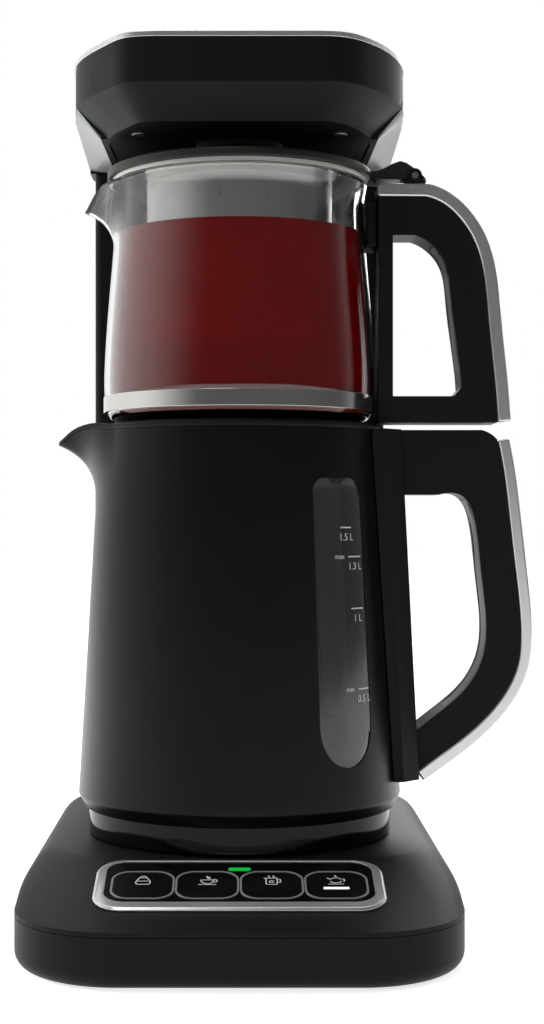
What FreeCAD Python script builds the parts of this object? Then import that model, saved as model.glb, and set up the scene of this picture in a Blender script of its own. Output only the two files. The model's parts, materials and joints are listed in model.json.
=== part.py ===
"""Automatic tea maker: a kettle on a powered base, a glass teapot on the kettle, and a tower whose head
rains hot water into the teapot. Millimetres; origin on the standing plane at the kettle's axis, +X towards
the handles, +Y towards the tower, +Z up."""

import FreeCAD, Part
import math
import os

import Sketcher

VECTOR = FreeCAD.Vector
SHEET_NAME = "Sizes"

# Driving dimensions, all in millimetres or degrees, each written once
DRIVING = {
    # Base
    "base_half_width": 92.0,
    "base_front": 134.0,
    "base_back": 134.0,
    "base_corner": 45.0,
    "base_bottom": 0.25,
    "base_seam": 20.8,
    "base_crease": 23.0,
    "base_top": 38.8,
    "base_shoulder": 14.0,
    "base_wall": 2.2,
    "tray_round": 7.0,
    "slope_start": 69.0,
    "seam_gap": 0.2,
    "foot_radius": 7.0,
    "foot_height": 2.4,
    "foot_inset": 24.0,
    "post_radius": 4.5,
    "screw_radius": 1.5,
    "screw_head": 2.9,
    "screw_depth": 4.0,
    # Control panel, measured in the plane of the slope
    "panel_distance": 95.0,
    "bezel_half_length": 59.0,
    "bezel_half_depth": 22.4,
    "bezel_corner": 12.0,
    "bezel_height": 1.5,
    "bezel_lip": 1.6,
    "bezel_neck": 4.2,
    "panel_half_length": 54.4,
    "panel_half_depth": 18.2,
    "panel_shift": 1.8,
    "panel_corner": 8.5,
    "panel_thick": 2.4,
    "panel_drop": 0.4,
    "key_pitch": 26.2,
    "key_half_length": 12.0,
    "key_half_depth": 11.6,
    "key_corner": 7.0,
    "key_shift": 1.3,
    "key_travel": 0.8,
    "ring_width": 0.8,
    "fit_gap": 0.15,
    "lens_half_length": 4.7,
    "lens_half_depth": 1.5,
    "lens_shift": 13.4,
    "board_thick": 1.6,
    "switch_height": 3.4,
    # Base connector
    "plug_radius": 29.5,
    "plug_top": 46.0,
    "plug_flange": 34.0,
    "plug_bottom": 30.0,
    "port_radius": 7.0,
    "port_top": 49.5,
    "port_bore": 3.2,
    "pin_radius": 1.4,
    "pin_top": 52.0,
    # Pump and water way
    "pump_distance": 84.0,
    "pump_radius": 17.0,
    "pump_low": 3.0,
    "pump_high": 19.0,
    "motor_radius": 13.0,
    "motor_top": 35.6,
    "rotor_radius": 12.0,
    "shaft_radius": 1.5,
    "hose_radius": 4.5,
    "hose_bore": 3.0,
    "hose_level": 11.0,
    "hose_bend": 11.0,
    "riser_distance": 108.0,
    "shower_level": 365.5,
    # Column and head
    "column_half_width": 73.5,
    "column_front": 78.0,
    "column_split": 96.0,
    "column_back": 118.0,
    "column_corner": 26.0,
    "column_wall": 2.5,
    "head_half_width": 75.8,
    "head_front": 72.5,
    "head_flat": 34.0,
    "head_corner_depth": 72.5,
    "head_low": 352.0,
    "head_break": 365.7,
    "head_rim": 384.5,
    "trim_height": 2.5,
    "head_chamfer": 13.6,
    "head_wall": 2.5,
    "head_rear_low": 357.2,
    "head_rear_chamfer": 12.8,
    "rail_start": -24.0,
    "rail_thick": 1.2,
    "rail_outer_end": 358.6,
    "trim_width": 1.8,
    "recess_depth": 0.9,
    "underside_thick": 2.0,
    "shower_radius": 20.0,
    "shower_low": 350.6,
    # Kettle
    "kettle_low": 51.4,
    "kettle_low_radius": 70.2,
    "kettle_wide_level": 58.0,
    "kettle_wide_radius": 73.8,
    "kettle_top": 221.5,
    "kettle_top_radius": 64.2,
    "kettle_wall": 1.2,
    "collar_radius": 69.2,
    "collar_low": 39.1,
    "collar_wall": 2.8,
    "collar_floor": 52.8,
    "floor_thick": 2.2,
    "heater_level": 67.0,
    "heater_skirt": 5.0,
    "heater_thick": 1.2,
    "element_radius": 45.0,
    "element_tube": 4.0,
    "socket_low": 40.2,
    "socket_wall": 3.2,
    "socket_top": 58.0,
    "valve_radius": 6.2,
    "valve_bore": 4.0,
    "valve_rise": 2.5,
    "poppet_radius": 6.0,
    "rim_ring": 64.8,
    "rim_top": 223.8,
    "seat_top": 225.0,
    "seat_outer": 60.0,
    "seat_bore": 46.0,
    "window_azimuth": 41.0,
    "window_half_width": 15.4,
    "window_low": 74.5,
    "window_high": 199.8,
    "window_corner": 9.0,
    "window_thick": 2.0,
    "mount_low": 64.0,
    "mount_high": 222.3,
    "mount_half_width": 26.0,
    "mount_chamfer": 12.5,
    "mount_reach": 8.4,
    "grip_half_width": 12.0,
    "liner_half_width": 7.5,
    "liner_thick": 1.6,
    "spine_thick": 5.4,
    # Teapot
    "glass_low": 225.2,
    "glass_wall": 2.3,
    "glass_floor": 3.0,
    "glass_rim": 334.5,
    "band_low": 230.3,
    "band_high": 237.6,
    "band_radius": 62.6,
    "flange_low": 334.7,
    "flange_thick": 0.7,
    "flange_radius": 57.2,
    "basket_radius": 42.8,
    "basket_low": 258.0,
    "basket_wall": 0.6,
    "lid_radius": 60.8,
    "lid_low": 337.3,
    "lid_top": 341.3,
    "lid_bore": 22.0,
    "gasket_radius": 58.5,
    "tab_half_width": 9.0,
    "tab_peak": 345.4,
    "hinge_out": 80.0,
    "hinge_level": 338.4,
    "ear_thick": 2.2,
    "hinge_gap": 0.3,
    "pot_grip_half_width": 11.0,
    "pot_grip_low": 225.7,
    "pot_strip_in": 63.2,
    "pot_strip_out": 70.0,
    "pot_opening_low": 237.8,
    "pot_spine_low": 328.8,
    "pot_spine_high": 335.2,
    "boss_low": 306.0,
    "boss_high": 328.0,
    "boss_half_width": 9.0,
    # Cord gland
    "gland_level": 12.0,
    "gland_side": 40.0,
    "gland_radius": 6.5,
    "gland_bore": 3.6,
    "gland_length": 12.0,
}


class Size:
    """A size with its present value and the formula by which the sheet works it out."""

    def __init__(self, value, formula):
        self.value = float(value)
        self.formula = formula

    def __add__(self, other):
        return joined(self, other, "+", self.value + number(other))

    def __radd__(self, other):
        return joined(other, self, "+", number(other) + self.value)

    def __sub__(self, other):
        return joined(self, other, "-", self.value - number(other))

    def __rsub__(self, other):
        return joined(other, self, "-", number(other) - self.value)

    def __mul__(self, other):
        return joined(self, other, "*", self.value * number(other))

    def __rmul__(self, other):
        return joined(other, self, "*", number(other) * self.value)

    def __truediv__(self, other):
        return joined(self, other, "/", self.value / number(other))

    def __neg__(self):
        return joined(0, self, "-", -self.value)


def number(size):
    """The present value of a size or a plain number."""
    return size.value if isinstance(size, Size) else float(size)


def formula(size):
    """The sheet formula of a size or a plain number."""
    return size.formula if isinstance(size, Size) else repr(float(size))


def joined(left, right, sign, value):
    """A size worked out from two others."""
    return Size(value, f"({formula(left)} {sign} {formula(right)})")


class Driving:
    """The driving dimensions, each as a size bound to its own cell."""

    def __init__(self, table):
        for name, value in table.items():
            setattr(self, name, Size(value, f"{SHEET_NAME}.{name}"))


D = Driving(DRIVING)
DOC = FreeCAD.newDocument("TeaMaker")
PARTS = {}


def write_sheet():
    """Fills the spreadsheet with the driving dimensions."""
    sheet = DOC.addObject("Spreadsheet::Sheet", SHEET_NAME)
    for row, (name, value) in enumerate(DRIVING.items(), start=1):
        sheet.set(f"A{row}", name)
        sheet.set(f"B{row}", str(value))
        sheet.setAlias(f"B{row}", name)
    DOC.recompute()


def keep(node, feature, placement=None):
    """Names a finished sub-part, and places it if it was made away from its own position."""
    feature.Label = node
    if placement is not None:
        feature.Placement = placement
    PARTS[node] = feature
    return feature


def new_body(name):
    """A new body for one sub-part."""
    return DOC.addObject("PartDesign::Body", name)


def new_sketch(body, name, role, offset=0):
    """A sketch on one of the body's own planes, moved along the plane's normal by offset."""
    sketch = body.newObject("Sketcher::SketchObject", name)
    plane = [f for f in body.Origin.OriginFeatures if f.Role == role][0]
    sketch.AttachmentSupport = [(plane, "")]
    sketch.MapMode = "FlatFace"
    if isinstance(offset, Size):
        sketch.setExpression("AttachmentOffset.Base.z", formula(offset))
    elif offset:
        sketch.AttachmentOffset = FreeCAD.Placement(VECTOR(0, 0, offset), FreeCAD.Rotation())
    return sketch


def pin(constraints, geometry, point, across, along):
    """Adds the two distances that hold a point from the sketch's origin."""
    for kind, size in (("DistanceX", across), ("DistanceY", along)):
        constraints.append((Sketcher.Constraint(kind, -1, 1, geometry, point, number(size)), size))


def apply(sketch, constraints):
    """Adds constraints, and binds each one that has a size to its formula."""
    first = sketch.ConstraintCount
    sketch.addConstraint([constraint for constraint, _ in constraints])
    for index, (_, size) in enumerate(constraints):
        if isinstance(size, Size):
            sketch.setExpression(f"Constraints[{first + index}]", formula(size))


def outline(sketch, corners):
    """A closed outline of straight edges through corners (across, along) or (across, along, radius)."""
    count = len(corners)
    places = [VECTOR(number(c[0]), number(c[1]), 0) for c in corners]
    radii = [c[2] if len(c) > 2 else None for c in corners]
    starts, ends, middles = [], [], []
    for k, place in enumerate(places):
        if radii[k] is None:
            starts.append(place)
            ends.append(place)
            middles.append(None)
            continue
        before = (places[k - 1] - place).normalize()
        after = (places[(k + 1) % count] - place).normalize()
        half = math.acos(max(-1.0, min(1.0, before.dot(after)))) / 2
        radius = number(radii[k])
        reach = radius / math.tan(half)
        inward = (before + after).normalize()
        starts.append(place + before * reach)
        ends.append(place + after * reach)
        middles.append(place + inward * (radius / math.sin(half) - radius))
    geometry, constraints, joints = [], [], []
    for k in range(count):
        geometry.append(Part.LineSegment(ends[k], starts[(k + 1) % count]))
    for k in range(count):
        after = k
        before = (k - 1) % count
        if radii[k] is None:
            constraints.append((Sketcher.Constraint("Coincident", before, 2, after, 1), None))
            pin(constraints, after, 1, corners[k][0], corners[k][1])
            continue
        arc = len(geometry)
        geometry.append(Part.Arc(starts[k], middles[k], ends[k]))
        joints.append((k, arc, before, after))
    for k, arc, before, after in joints:
        curve = Part.Arc(starts[k], middles[k], ends[k])
        forward = curve.toShape().Curve.Axis.z > 0
        first, last = (1, 2) if forward else (2, 1)
        corner = len(geometry)
        geometry.append(Part.Point(places[k]))
        constraints.append((Sketcher.Constraint("Tangent", before, 2, arc, first), None))
        constraints.append((Sketcher.Constraint("Tangent", arc, last, after, 1), None))
        constraints.append((Sketcher.Constraint("Radius", arc, number(radii[k])), radii[k]))
        constraints.append((Sketcher.Constraint("PointOnObject", corner, 1, before), None))
        constraints.append((Sketcher.Constraint("PointOnObject", corner, 1, after), None))
        pin(constraints, corner, 1, corners[k][0], corners[k][1])
    for item in geometry:
        sketch.addGeometry(item, isinstance(item, Part.Point))
    apply(sketch, constraints)


def circle(sketch, across, along, radius):
    """A circle held by its centre and radius."""
    index = sketch.addGeometry(
        Part.Circle(VECTOR(number(across), number(along), 0), VECTOR(0, 0, 1), number(radius)), False
    )
    constraints = [(Sketcher.Constraint("Radius", index, number(radius)), radius)]
    pin(constraints, index, 3, across, along)
    apply(sketch, constraints)


def rounded_corners(left, right, low, high, radius):
    """The four corners of a rounded rectangle."""
    return [(left, low, radius), (right, low, radius), (right, high, radius), (left, high, radius)]


def padded(name, corners, low, high, holes=()):
    """A body padded from low to high over a plan outline, with round holes (across, along, radius)."""
    body = new_body(name)
    sketch = new_sketch(body, name + "Plan", "XY_Plane", low)
    outline(sketch, corners)
    for across, along, radius in holes:
        circle(sketch, across, along, radius)
    pad = body.newObject("PartDesign::Pad", name + "Pad")
    pad.Profile = sketch
    pad.setExpression("Length", formula(high - low))
    return body


def disc(name, across, along, radius, low, high, bore=None):
    """A round body from low to high, with a bore where one is given."""
    body = new_body(name)
    sketch = new_sketch(body, name + "Plan", "XY_Plane", low)
    circle(sketch, across, along, radius)
    if bore is not None:
        circle(sketch, across, along, bore)
    pad = body.newObject("PartDesign::Pad", name + "Pad")
    pad.Profile = sketch
    pad.setExpression("Length", formula(high - low))
    return body


def side_padded(name, corners, half_width):
    """A body padded evenly to both sides of the XZ plane over a side outline."""
    body = new_body(name)
    sketch = new_sketch(body, name + "Side", "XZ_Plane")
    outline(sketch, corners)
    pad = body.newObject("PartDesign::Pad", name + "Pad")
    pad.Profile = sketch
    pad.Midplane = True
    pad.setExpression("Length", formula(2 * half_width))
    return body


def turned(name, profile):
    """A body turned about the vertical axis from a profile of (radius, level) corners."""
    body = new_body(name)
    sketch = new_sketch(body, name + "Profile", "XZ_Plane")
    outline(sketch, profile)
    turn = body.newObject("PartDesign::Revolution", name + "Turn")
    turn.Profile = sketch
    turn.ReferenceAxis = (sketch, ["V_Axis"])
    turn.Angle = 360
    return body


def united(name, *pieces):
    """One solid from several that meet."""
    feature = DOC.addObject("Part::MultiFuse", name)
    feature.Shapes = list(pieces)
    return feature


def less(name, base, *tools):
    """The base with every tool cut away."""
    feature = DOC.addObject("Part::Cut", name)
    feature.Base = base
    feature.Tool = tools[0] if len(tools) == 1 else united(name + "Tools", *tools)
    return feature


def shared(name, one, other):
    """What two solids have in common."""
    feature = DOC.addObject("Part::MultiCommon", name)
    feature.Shapes = [one, other]
    return feature


def block(name, left, right, front, back, low, high):
    """A box between six levels, bound to the sheet."""
    feature = DOC.addObject("Part::Box", name)
    feature.setExpression("Length", formula(right - left))
    feature.setExpression("Width", formula(back - front))
    feature.setExpression("Height", formula(high - low))
    for axis, size in (("x", left), ("y", front), ("z", low)):
        feature.setExpression(f"Placement.Base.{axis}", formula(size))
    return feature


def shaped(name, shape):
    """A feature that holds a shape made with the kernel's own functions."""
    feature = DOC.addObject("Part::Feature", name)
    feature.Shape = shape
    return feature


def group(name, shapes):
    """Several separate solids of one kind under one name."""
    return shaped(name, Part.makeCompound(shapes))


def lofted(name, sections, additive=True, body=None, ruled=False):
    """A body lofted through (offset, corners) sections parallel to the ground."""
    body = body or new_body(name)
    sketches = []
    for k, (offset, corners) in enumerate(sections):
        sketch = new_sketch(body, f"{name}Section{k}", "XY_Plane", offset)
        outline(sketch, corners)
        sketches.append(sketch)
    kind = "PartDesign::AdditiveLoft" if additive else "PartDesign::SubtractiveLoft"
    loft = body.newObject(kind, name + "Loft")
    loft.Profile = sketches[0]
    loft.Sections = sketches[1:]
    loft.Ruled = ruled
    return body


def cross_section(half_width, level_top, level_low, place):
    """A channel section across X at place: a chord on top and a round arc below."""
    left = VECTOR(place, -half_width, level_top)
    right = VECTOR(place, half_width, level_top)
    middle = VECTOR(place, 0, level_low)
    return Part.Wire([Part.LineSegment(right, left).toShape(), Part.Arc(left, middle, right).toShape()])


def flat_section(half_width, level_top, level_low, place):
    """A rectangular section across X at place."""
    corners = [
        VECTOR(place, -half_width, level_low),
        VECTOR(place, half_width, level_low),
        VECTOR(place, half_width, level_top),
        VECTOR(place, -half_width, level_top),
    ]
    return Part.makePolygon(corners + corners[:1])


def tube_path(points, bend):
    """Straight runs through the points, joined by arcs tangent to both runs."""
    edges = []
    last = points[0]
    for before, corner, after in zip(points, points[1:], points[2:]):
        back = (before - corner).normalize()
        on = (after - corner).normalize()
        half = math.acos(back.dot(on)) / 2
        reach = bend / math.tan(half)
        start = corner + back * reach
        end = corner + on * reach
        middle = corner + (back + on).normalize() * (bend / math.sin(half) - bend)
        edges.append(Part.LineSegment(last, start).toShape())
        edges.append(Part.Arc(start, middle, end).toShape())
        last = end
    edges.append(Part.LineSegment(last, points[-1]).toShape())
    return Part.Wire(edges)


def hose(name, points, bend, radius, bore):
    """A hose along straight runs and round bends, with its bore."""
    path = tube_path(points, bend)
    ways = []
    for size in (radius, bore):
        ring = Part.Wire(Part.makeCircle(size, points[0], points[1] - points[0]))
        ways.append(path.makePipeShell([ring], True, False))
    return shaped(name, ways[0].cut(ways[1]))


def curve_through(points):
    """A smooth edge through points."""
    spline = Part.BSplineCurve()
    spline.interpolate(points)
    return spline.toShape()


def moved_out(points, distance):
    """The points of a side outline (x, z), each moved along the outline's left-hand normal."""
    moved = []
    for k, point in enumerate(points):
        before = points[max(k - 1, 0)]
        after = points[min(k + 1, len(points) - 1)]
        run = VECTOR(after[0] - before[0], 0, after[1] - before[1]).normalize()
        moved.append((point[0] - run.z * distance, point[1] + run.x * distance))
    return moved


def side_band(edges, half_width):
    """A solid padded evenly to both sides of the XZ plane over a closed chain of edges."""
    face = Part.Face(Part.Wire(edges))
    face.translate(VECTOR(0, -half_width, 0))
    return face.extrude(VECTOR(0, 2 * half_width, 0))


def side_points(pairs):
    """Side outline pairs (x, z) as points of space."""
    return [VECTOR(x, 0, z) for x, z in pairs]


def side_line(start, end):
    """A straight edge of a side outline."""
    return Part.LineSegment(VECTOR(start[0], 0, start[1]), VECTOR(end[0], 0, end[1])).toShape()


def curve_band(inner, outer, half_width):
    """A solid between two smooth side curves that run the same way, closed by straight ends."""
    edges = [
        curve_through(side_points(outer)),
        side_line(outer[-1], inner[-1]),
        curve_through(side_points(inner)),
        side_line(inner[0], outer[0]),
    ]
    return side_band(Part.__sortEdges__(edges), half_width)


# Base: cover, tray, feet, posts and screws

SHOULDER_ANGLES = (0.0, 25.0, 50.0, 70.0, 90.0)
FOOT_SIGNS = ((-1, -1), (1, -1), (1, 1), (-1, 1))


def slope_angle():
    """The control slope's angle in degrees."""
    rise = number(D.base_top - D.base_crease)
    return math.degrees(math.atan2(rise, number(D.base_front - D.slope_start)))


def on_slope(drop=0.0):
    """The placement of a piece drawn flat that lies on the control slope, sunk by drop."""
    rise_per_run = (D.base_top - D.base_crease) / (D.base_front - D.slope_start)
    level = number(D.base_crease + (D.base_front - D.panel_distance) * rise_per_run)
    turn = FreeCAD.Rotation(VECTOR(1, 0, 0), slope_angle())
    place = VECTOR(0, -number(D.panel_distance), level)
    return FreeCAD.Placement(place - turn.multVec(VECTOR(0, 0, drop)), turn)


def cover_sections(inset, drop):
    """Plan sections of the base cover: a straight foot, then a round shoulder that meets the slope."""
    run_per_rise = (D.base_front - D.slope_start) / (D.base_top - D.base_crease)
    side = D.base_half_width - inset
    back = D.base_back - inset
    front = D.base_front - inset
    sections = [(D.base_crease - drop, rounded_corners(-side, side, -front, back, D.base_corner - inset))]
    for angle in SHOULDER_ANGLES:
        draw_in = D.base_shoulder * (1 - math.cos(math.radians(angle)))
        level = D.base_top - D.base_shoulder * (1 - math.sin(math.radians(angle)))
        slope = (level - D.base_crease) * run_per_rise
        sections.append((level - drop, rounded_corners(
            draw_in - side, side - draw_in, slope - front, back - draw_in, D.base_corner - inset - draw_in
        )))
    return sections


def foot_places():
    """The four corners where feet, posts and screws stand."""
    side = D.base_half_width - D.foot_inset
    front = D.base_front - D.foot_inset
    back = D.base_back - D.foot_inset
    return [(side * sx, (front if sy < 0 else back) * sy) for sx, sy in FOOT_SIGNS]


def make_base():
    """The base cover, tray, feet and screws."""
    seam = D.base_seam + D.seam_gap
    plan = rounded_corners(
        -D.base_half_width, D.base_half_width, -D.base_front, D.base_back, D.base_corner
    )
    foot = padded("CoverFoot", plan, seam, D.base_crease)
    dome = lofted("CoverDome", cover_sections(0, 0))
    wall = D.base_wall
    hollow = lofted("CoverHollow", cover_sections(wall, wall))
    inner_plan = rounded_corners(
        wall - D.base_half_width, D.base_half_width - wall, wall - D.base_front,
        D.base_back - wall, D.base_corner - wall,
    )
    hollow_foot = padded("CoverHollowFoot", inner_plan, D.base_bottom, D.base_crease - wall)
    shell = less("CoverShell", united("CoverBlank", foot, dome), hollow, hollow_foot)
    window = padded("PanelOpening", rounded_corners(
        D.bezel_lip - D.bezel_half_length, D.bezel_half_length - D.bezel_lip,
        D.bezel_lip - D.bezel_half_depth, D.bezel_half_depth - D.bezel_lip, D.bezel_corner - D.bezel_lip,
    ), -1 * D.bezel_neck * 2, D.bezel_neck)
    window.Placement = on_slope()
    plug_hole = disc("PlugHole", 0, 0, D.plug_radius + D.fit_gap, D.base_seam, D.base_top + 1)
    riser_hole = disc("RiserHole", 0, D.riser_distance, D.hose_radius * 1.5, D.base_seam, D.base_top + 1)
    posts = []
    for k, (across, along) in enumerate(foot_places()):
        posts.append(disc(f"CoverPost{k}", across, along, D.post_radius, seam, D.base_top + 0))
    trimmed = shared("CoverPosts", united("CoverPostBlanks", *posts), lofted("CoverForm", cover_sections(0, 0)))
    drills = [
        disc(f"CoverDrill{k}", across, along, D.screw_radius, seam - 1, D.base_seam + D.screw_depth + 0.5)
        for k, (across, along) in enumerate(foot_places())
    ]
    solid = united("CoverWithPosts", less("CoverCut", shell, window, plug_hole, riser_hole), trimmed)
    keep("base_cover", less("BaseCover", solid, *drills))
    make_tray(plan, inner_plan)


def make_tray(plan, inner_plan):
    """The tray with its round lower edge, floor and posts, the rubber feet and the screws."""
    body = padded("TrayBody", plan, D.base_bottom, D.base_seam)
    DOC.recompute()
    pad = body.Tip
    low = number(D.base_bottom)
    rim = [
        f"Edge{k}" for k, edge in enumerate(pad.Shape.Edges, start=1)
        if abs(edge.BoundBox.ZMax - low) < 1e-3 and abs(edge.BoundBox.ZMin - low) < 1e-3
    ]
    rounding = body.newObject("PartDesign::Fillet", "TrayRounding")
    rounding.Base = (pad, rim)
    rounding.setExpression("Radius", formula(D.tray_round))
    floor = D.base_bottom + D.base_wall
    hollow = padded("TrayHollow", inner_plan, floor + D.tray_round * 0.5, D.base_seam + 1)
    side = D.base_half_width - D.tray_round
    lower = padded("TrayLower", rounded_corners(
        -side, side, D.tray_round - D.base_front, D.base_back - D.tray_round,
        D.base_corner - D.tray_round,
    ), floor, D.base_seam)
    posts, drills, feet, screws = [], [], [], []
    for k, (across, along) in enumerate(foot_places()):
        posts.append(disc(f"TrayPost{k}", across, along, D.post_radius, floor, D.base_seam))
        drills.append(disc(f"TrayDrill{k}", across, along, D.screw_radius + 0.2, 0 * floor, D.base_seam + 1))
        drills.append(disc(f"TraySeat{k}", across, along, D.foot_radius + 0.1, 0 * floor, D.foot_height))
        feet.append(Part.makeCylinder(
            number(D.foot_radius), number(D.foot_height - 0.2), VECTOR(number(across), number(along), 0)
        ))
        place = VECTOR(number(across), number(along), number(D.foot_height))
        head = Part.makeCylinder(number(D.screw_head), number(D.base_wall), place)
        reach = number(D.base_seam + D.screw_depth - D.foot_height)
        screws.append(head.fuse(Part.makeCylinder(number(D.screw_radius), reach, place)).removeSplitter())
        drills.append(disc(
            f"TrayBore{k}", across, along, D.screw_head + 0.2, 0 * floor, D.foot_height + D.base_wall + 0.1
        ))
    shell = less("TrayShell", body, hollow, lower)
    gland = round_bar("GlandHole", D.gland_side, D.base_back - D.gland_length, D.base_back + D.base_wall,
                      D.gland_level, D.gland_radius + D.fit_gap)
    keep("base_tray", less("BaseTray", united("TrayPosts", shell, *posts), gland, *drills))
    keep("rubber_feet", group("RubberFeet", feet))
    keep("base_screws", group("BaseScrews", screws))


def round_bar(name, across, front, back, level, radius):
    """A round bar along Y."""
    feature = DOC.addObject("Part::Cylinder", name)
    feature.setExpression("Radius", formula(radius))
    feature.setExpression("Height", formula(back - front))
    feature.Placement = FreeCAD.Placement(VECTOR(0, 0, 0), FreeCAD.Rotation(VECTOR(1, 0, 0), -90))
    for axis, size in (("x", across), ("y", front), ("z", level)):
        feature.setExpression(f"Placement.Base.{axis}", formula(size))
    return feature


def make_gland():
    """The cord gland in the tray's back wall, with its bore left open."""
    inner = D.base_back - D.base_wall - D.gland_length * 0.5
    barrel = round_bar("GlandBarrel", D.gland_side, inner, D.base_back + D.gland_length * 0.4,
                       D.gland_level, D.gland_radius)
    collar = round_bar("GlandCollar", D.gland_side, D.base_back + 0.2, D.base_back + D.base_wall,
                       D.gland_level, D.gland_radius + D.base_wall)
    bore = round_bar("GlandBore", D.gland_side, inner - 1, D.base_back + D.gland_length,
                     D.gland_level, D.gland_bore)
    keep("cord_gland", less("CordGland", united("GlandBody", barrel, collar), bore))


# Control panel, drawn flat and laid on the slope

KEY_NAMES = ("key_warm_water", "key_coffee", "key_boil", "key_brew")


def key_centres():
    """How far each key's centre lies from the panel's middle."""
    return [D.key_pitch * (k - 1.5) for k in range(len(KEY_NAMES))]


def key_outline(centre, grow):
    """A key's rounded outline, grown by a distance."""
    half = D.key_half_length + grow
    depth = D.key_half_depth + grow
    return rounded_corners(
        centre - half, centre + half, 0 - D.key_shift - depth, depth - D.key_shift, D.key_corner + grow
    )


def make_panel():
    """The bezel, glass panel, outline rings, keys, status lens, board and switches."""
    gap = D.fit_gap
    neck = D.bezel_lip + gap
    flange = padded("BezelFlange", rounded_corners(
        -D.bezel_half_length, D.bezel_half_length, -D.bezel_half_depth, D.bezel_half_depth, D.bezel_corner
    ), gap, D.bezel_height)
    DOC.recompute()
    top = number(D.bezel_height)
    pad = flange.Tip
    rim = [
        f"Edge{k}" for k, edge in enumerate(pad.Shape.Edges, start=1)
        if abs(edge.BoundBox.ZMin - top) < 1e-3
    ]
    bevel = flange.newObject("PartDesign::Chamfer", "BezelBevel")
    bevel.Base = (pad, rim)
    bevel.setExpression("Size", formula(D.bezel_height * 0.6))
    sleeve = padded("BezelSleeve", rounded_corners(
        neck - D.bezel_half_length, D.bezel_half_length - neck,
        neck - D.bezel_half_depth, D.bezel_half_depth - neck, D.bezel_corner - neck,
    ), -1 * D.bezel_neck, D.bezel_height * 0.5)
    opening = padded("BezelOpening", rounded_corners(
        0 - D.panel_half_length - gap, D.panel_half_length + gap,
        D.panel_shift - D.panel_half_depth - gap, D.panel_shift + D.panel_half_depth + gap,
        D.panel_corner + gap,
    ), -2 * D.bezel_neck, D.bezel_height * 2)
    keep("panel_bezel", less("PanelBezel", united("BezelBody", flange, sleeve), opening), on_slope())
    face = D.bezel_height - D.panel_drop
    back = face - D.panel_thick
    plate = padded("PanelPlate", rounded_corners(
        0 - D.panel_half_length, D.panel_half_length + 0,
        D.panel_shift - D.panel_half_depth, D.panel_shift + D.panel_half_depth, D.panel_corner + 0,
    ), back, face)
    holes, rings = [], []
    for k, centre in enumerate(key_centres()):
        holes.append(padded(f"KeyHole{k}", key_outline(centre, gap), back - 1, face + 1))
        outer = padded(f"RingOuter{k}", key_outline(centre, gap + D.ring_width), face, face + 0.3)
        inner = padded(f"RingInner{k}", key_outline(centre, gap), face - 1, face + 1)
        rings.append(less(f"KeyRing{k}", outer, inner))
        keep_key(KEY_NAMES[k], centre, face, back)
    lens_side = D.lens_half_length
    lens = padded("LensBody", rounded_corners(
        -lens_side, lens_side, D.lens_shift - D.lens_half_depth, D.lens_shift + D.lens_half_depth,
        D.lens_half_depth * 0.9,
    ), back, face + 0.15)
    hole = padded("LensHole", rounded_corners(
        0 - lens_side - 0.1, lens_side + 0.1, D.lens_shift - D.lens_half_depth - 0.1,
        D.lens_shift + D.lens_half_depth + 0.1, D.lens_half_depth * 0.9,
    ), back - 1, face + 1)
    keep("panel_glass", less("PanelGlass", plate, hole, *holes), on_slope())
    keep("status_lens", lens, on_slope())
    DOC.recompute()
    keep("key_rings", group("KeyRings", [ring.Shape.copy() for ring in rings]), on_slope())
    make_board(back)


def keep_key(node, centre, face, back):
    """One key: a cap in its opening, a flange under the panel and a stem towards its switch."""
    cap = padded(node + "_cap", key_outline(centre, 0), back - D.key_travel, face + 0.1)
    foot = padded(
        node + "_foot", key_outline(centre, D.ring_width), back - D.key_travel - 1.0, back - 0.2
    )
    stem = disc(node + "_stem", centre, 0 - D.key_shift, D.shaft_radius * 1.5,
                back - D.key_travel - 2.2, back - D.key_travel)
    keep(node, united(node + "_body", cap, foot, stem), on_slope())


def board_top(back):
    """The level of the key board's top below the panel, in the slope's own frame."""
    return back - 2 * D.key_travel - 2.2 - D.switch_height


def make_board(back):
    """The key board with its four switches, each just over one travel below its key's stem, and the
    four pillars that hold it to the bezel."""
    top = board_top(back)
    board = padded("BoardPlate", rounded_corners(
        0 - D.panel_half_length, D.panel_half_length + 0,
        D.panel_shift - D.panel_half_depth, D.panel_shift + D.panel_half_depth, D.panel_corner + 0,
    ), top - D.board_thick, top)
    switches = []
    for k, centre in enumerate(key_centres()):
        left = centre - D.switch_height
        right = centre + D.switch_height
        plan = rounded_corners(
            left, right, 0 - D.key_shift - D.switch_height, D.switch_height - D.key_shift, D.ring_width
        )
        switches.append(padded(f"Switch{k}", plan, top, top + D.switch_height - 0.1))
    DOC.recompute()
    keep("key_switches", group("KeySwitches", [item.Shape.copy() for item in switches]), on_slope())
    keep("key_board", board, on_slope())
    pillars = []
    for sign_x, sign_y in FOOT_SIGNS:
        across = number(D.panel_half_length - D.panel_corner * 0.5) * sign_x
        along = number(D.panel_shift) + number(D.panel_half_depth - D.panel_corner * 0.35) * sign_y
        pillars.append(Part.makeCylinder(
            number(D.shaft_radius), number(back - top) - 0.1, VECTOR(across, along, number(top))
        ))
    keep("board_pillars", group("BoardPillars", pillars), on_slope())


# Base insides: connector, pump, boards, hoses

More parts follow.
